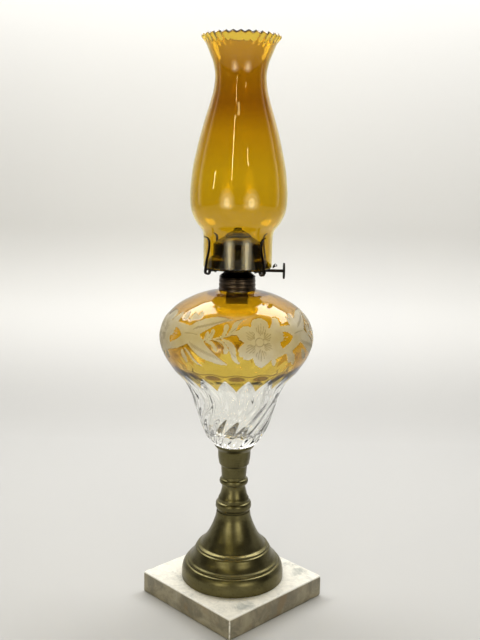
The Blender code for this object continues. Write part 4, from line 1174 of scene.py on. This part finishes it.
strip("tube_high", -17, 0.74, 1.46, 1.35, 0.026, 26, 2)
strip("tube_low_left", -60, 0.58, 0.80, 1.30, 0.034, 18, -22)
strip("tube_high_right", 22, 0.98, 1.14, 1.35, 0.034, 16, 20)
strip("tube_top", -6, 1.34, 1.44, 1.10, 0.16, 6, 0)
area("wall_wash", 180, 62, 1.25, 2.2, 0.6, 29, (1.0, 1.0, 1.0), aim=(0, 0, 0.2))

# a white tent overhead and at the sides; the room is dark on the viewer's side
world = bpy.data.worlds.new("studio")
bpy.context.scene.world = world
world.use_nodes = True
wt = world.node_tree
bg = wt.nodes["Background"]
tc = wt.nodes.new("ShaderNodeTexCoord")
dot = wt.nodes.new("ShaderNodeVectorMath"); dot.operation = 'DOT_PRODUCT'
dot.inputs[1].default_value = (math.cos(FRONT), math.sin(FRONT), 0.0)
wt.links.new(tc.outputs["Generated"], dot.inputs[0])
sx = wt.nodes.new("ShaderNodeSeparateXYZ")
wt.links.new(tc.outputs["Generated"], sx.inputs[0])
fr = wt.nodes.new("ShaderNodeMapRange"); fr.interpolation_type = 'SMOOTHSTEP'
wt.links.new(dot.outputs["Value"], fr.inputs["Value"])
fr.inputs["From Min"].default_value, fr.inputs["From Max"].default_value = -0.50, -0.06
hi = wt.nodes.new("ShaderNodeMapRange"); hi.interpolation_type = 'SMOOTHSTEP'
wt.links.new(sx.outputs["Z"], hi.inputs["Value"])
hi.inputs["From Min"].default_value, hi.inputs["From Max"].default_value = 0.995, 0.93
mul = wt.nodes.new("ShaderNodeMath"); mul.operation = 'MULTIPLY'
wt.links.new(fr.outputs["Result"], mul.inputs[0]); wt.links.new(hi.outputs["Result"], mul.inputs[1])
mixc = wt.nodes.new("ShaderNodeMix"); mixc.data_type = 'RGBA'
wt.links.new(mul.outputs[0], mixc.inputs["Factor"])
mixc.inputs[6].default_value = (1.0, 0.995, 0.985, 1)
mixc.inputs[7].default_value = (0.030, 0.028, 0.024, 1)
wt.links.new(mixc.outputs[2], bg.inputs["Color"])
bg.inputs["Strength"].default_value = 1.75

# ------------------------------------------------------------------ camera
PITCH, ROLL, F_PX = math.radians(11.2365), math.radians(1.05), 882.0
side = Vector((math.cos(VIEW_AZ), math.sin(VIEW_AZ), 0))
back = Vector((math.sin(VIEW_AZ), -math.cos(VIEW_AZ), 0))
cam_data = bpy.data.cameras.new("camera")
cam_data.sensor_fit = 'VERTICAL'
cam_data.sensor_height = 24.0
cam_data.lens = F_PX / 640.0 * 24.0
cam_data.clip_start, cam_data.clip_end = 0.05, 20.0
cam = bpy.data.objects.new("camera", cam_data)
coll.objects.link(cam)
loc = back * 0.9753 + side * 0.0038 + Vector((0, 0, 0.5276))
fwd = -back * math.cos(PITCH) - Vector((0, 0, math.sin(PITCH)))
up = -back * math.sin(PITCH) + Vector((0, 0, math.cos(PITCH)))
r2 = side * math.cos(ROLL) + up * math.sin(ROLL)
u2 = up * math.cos(ROLL) - side * math.sin(ROLL)
m = Matrix.Identity(4)
m.col[0][:3], m.col[1][:3], m.col[2][:3], m.translation = r2, u2, -fwd, loc
cam.matrix_world = m
bpy.context.scene.camera = cam
bpy.context.scene.view_settings.view_transform = 'Standard'
bpy.context.scene.view_settings.look = 'None'
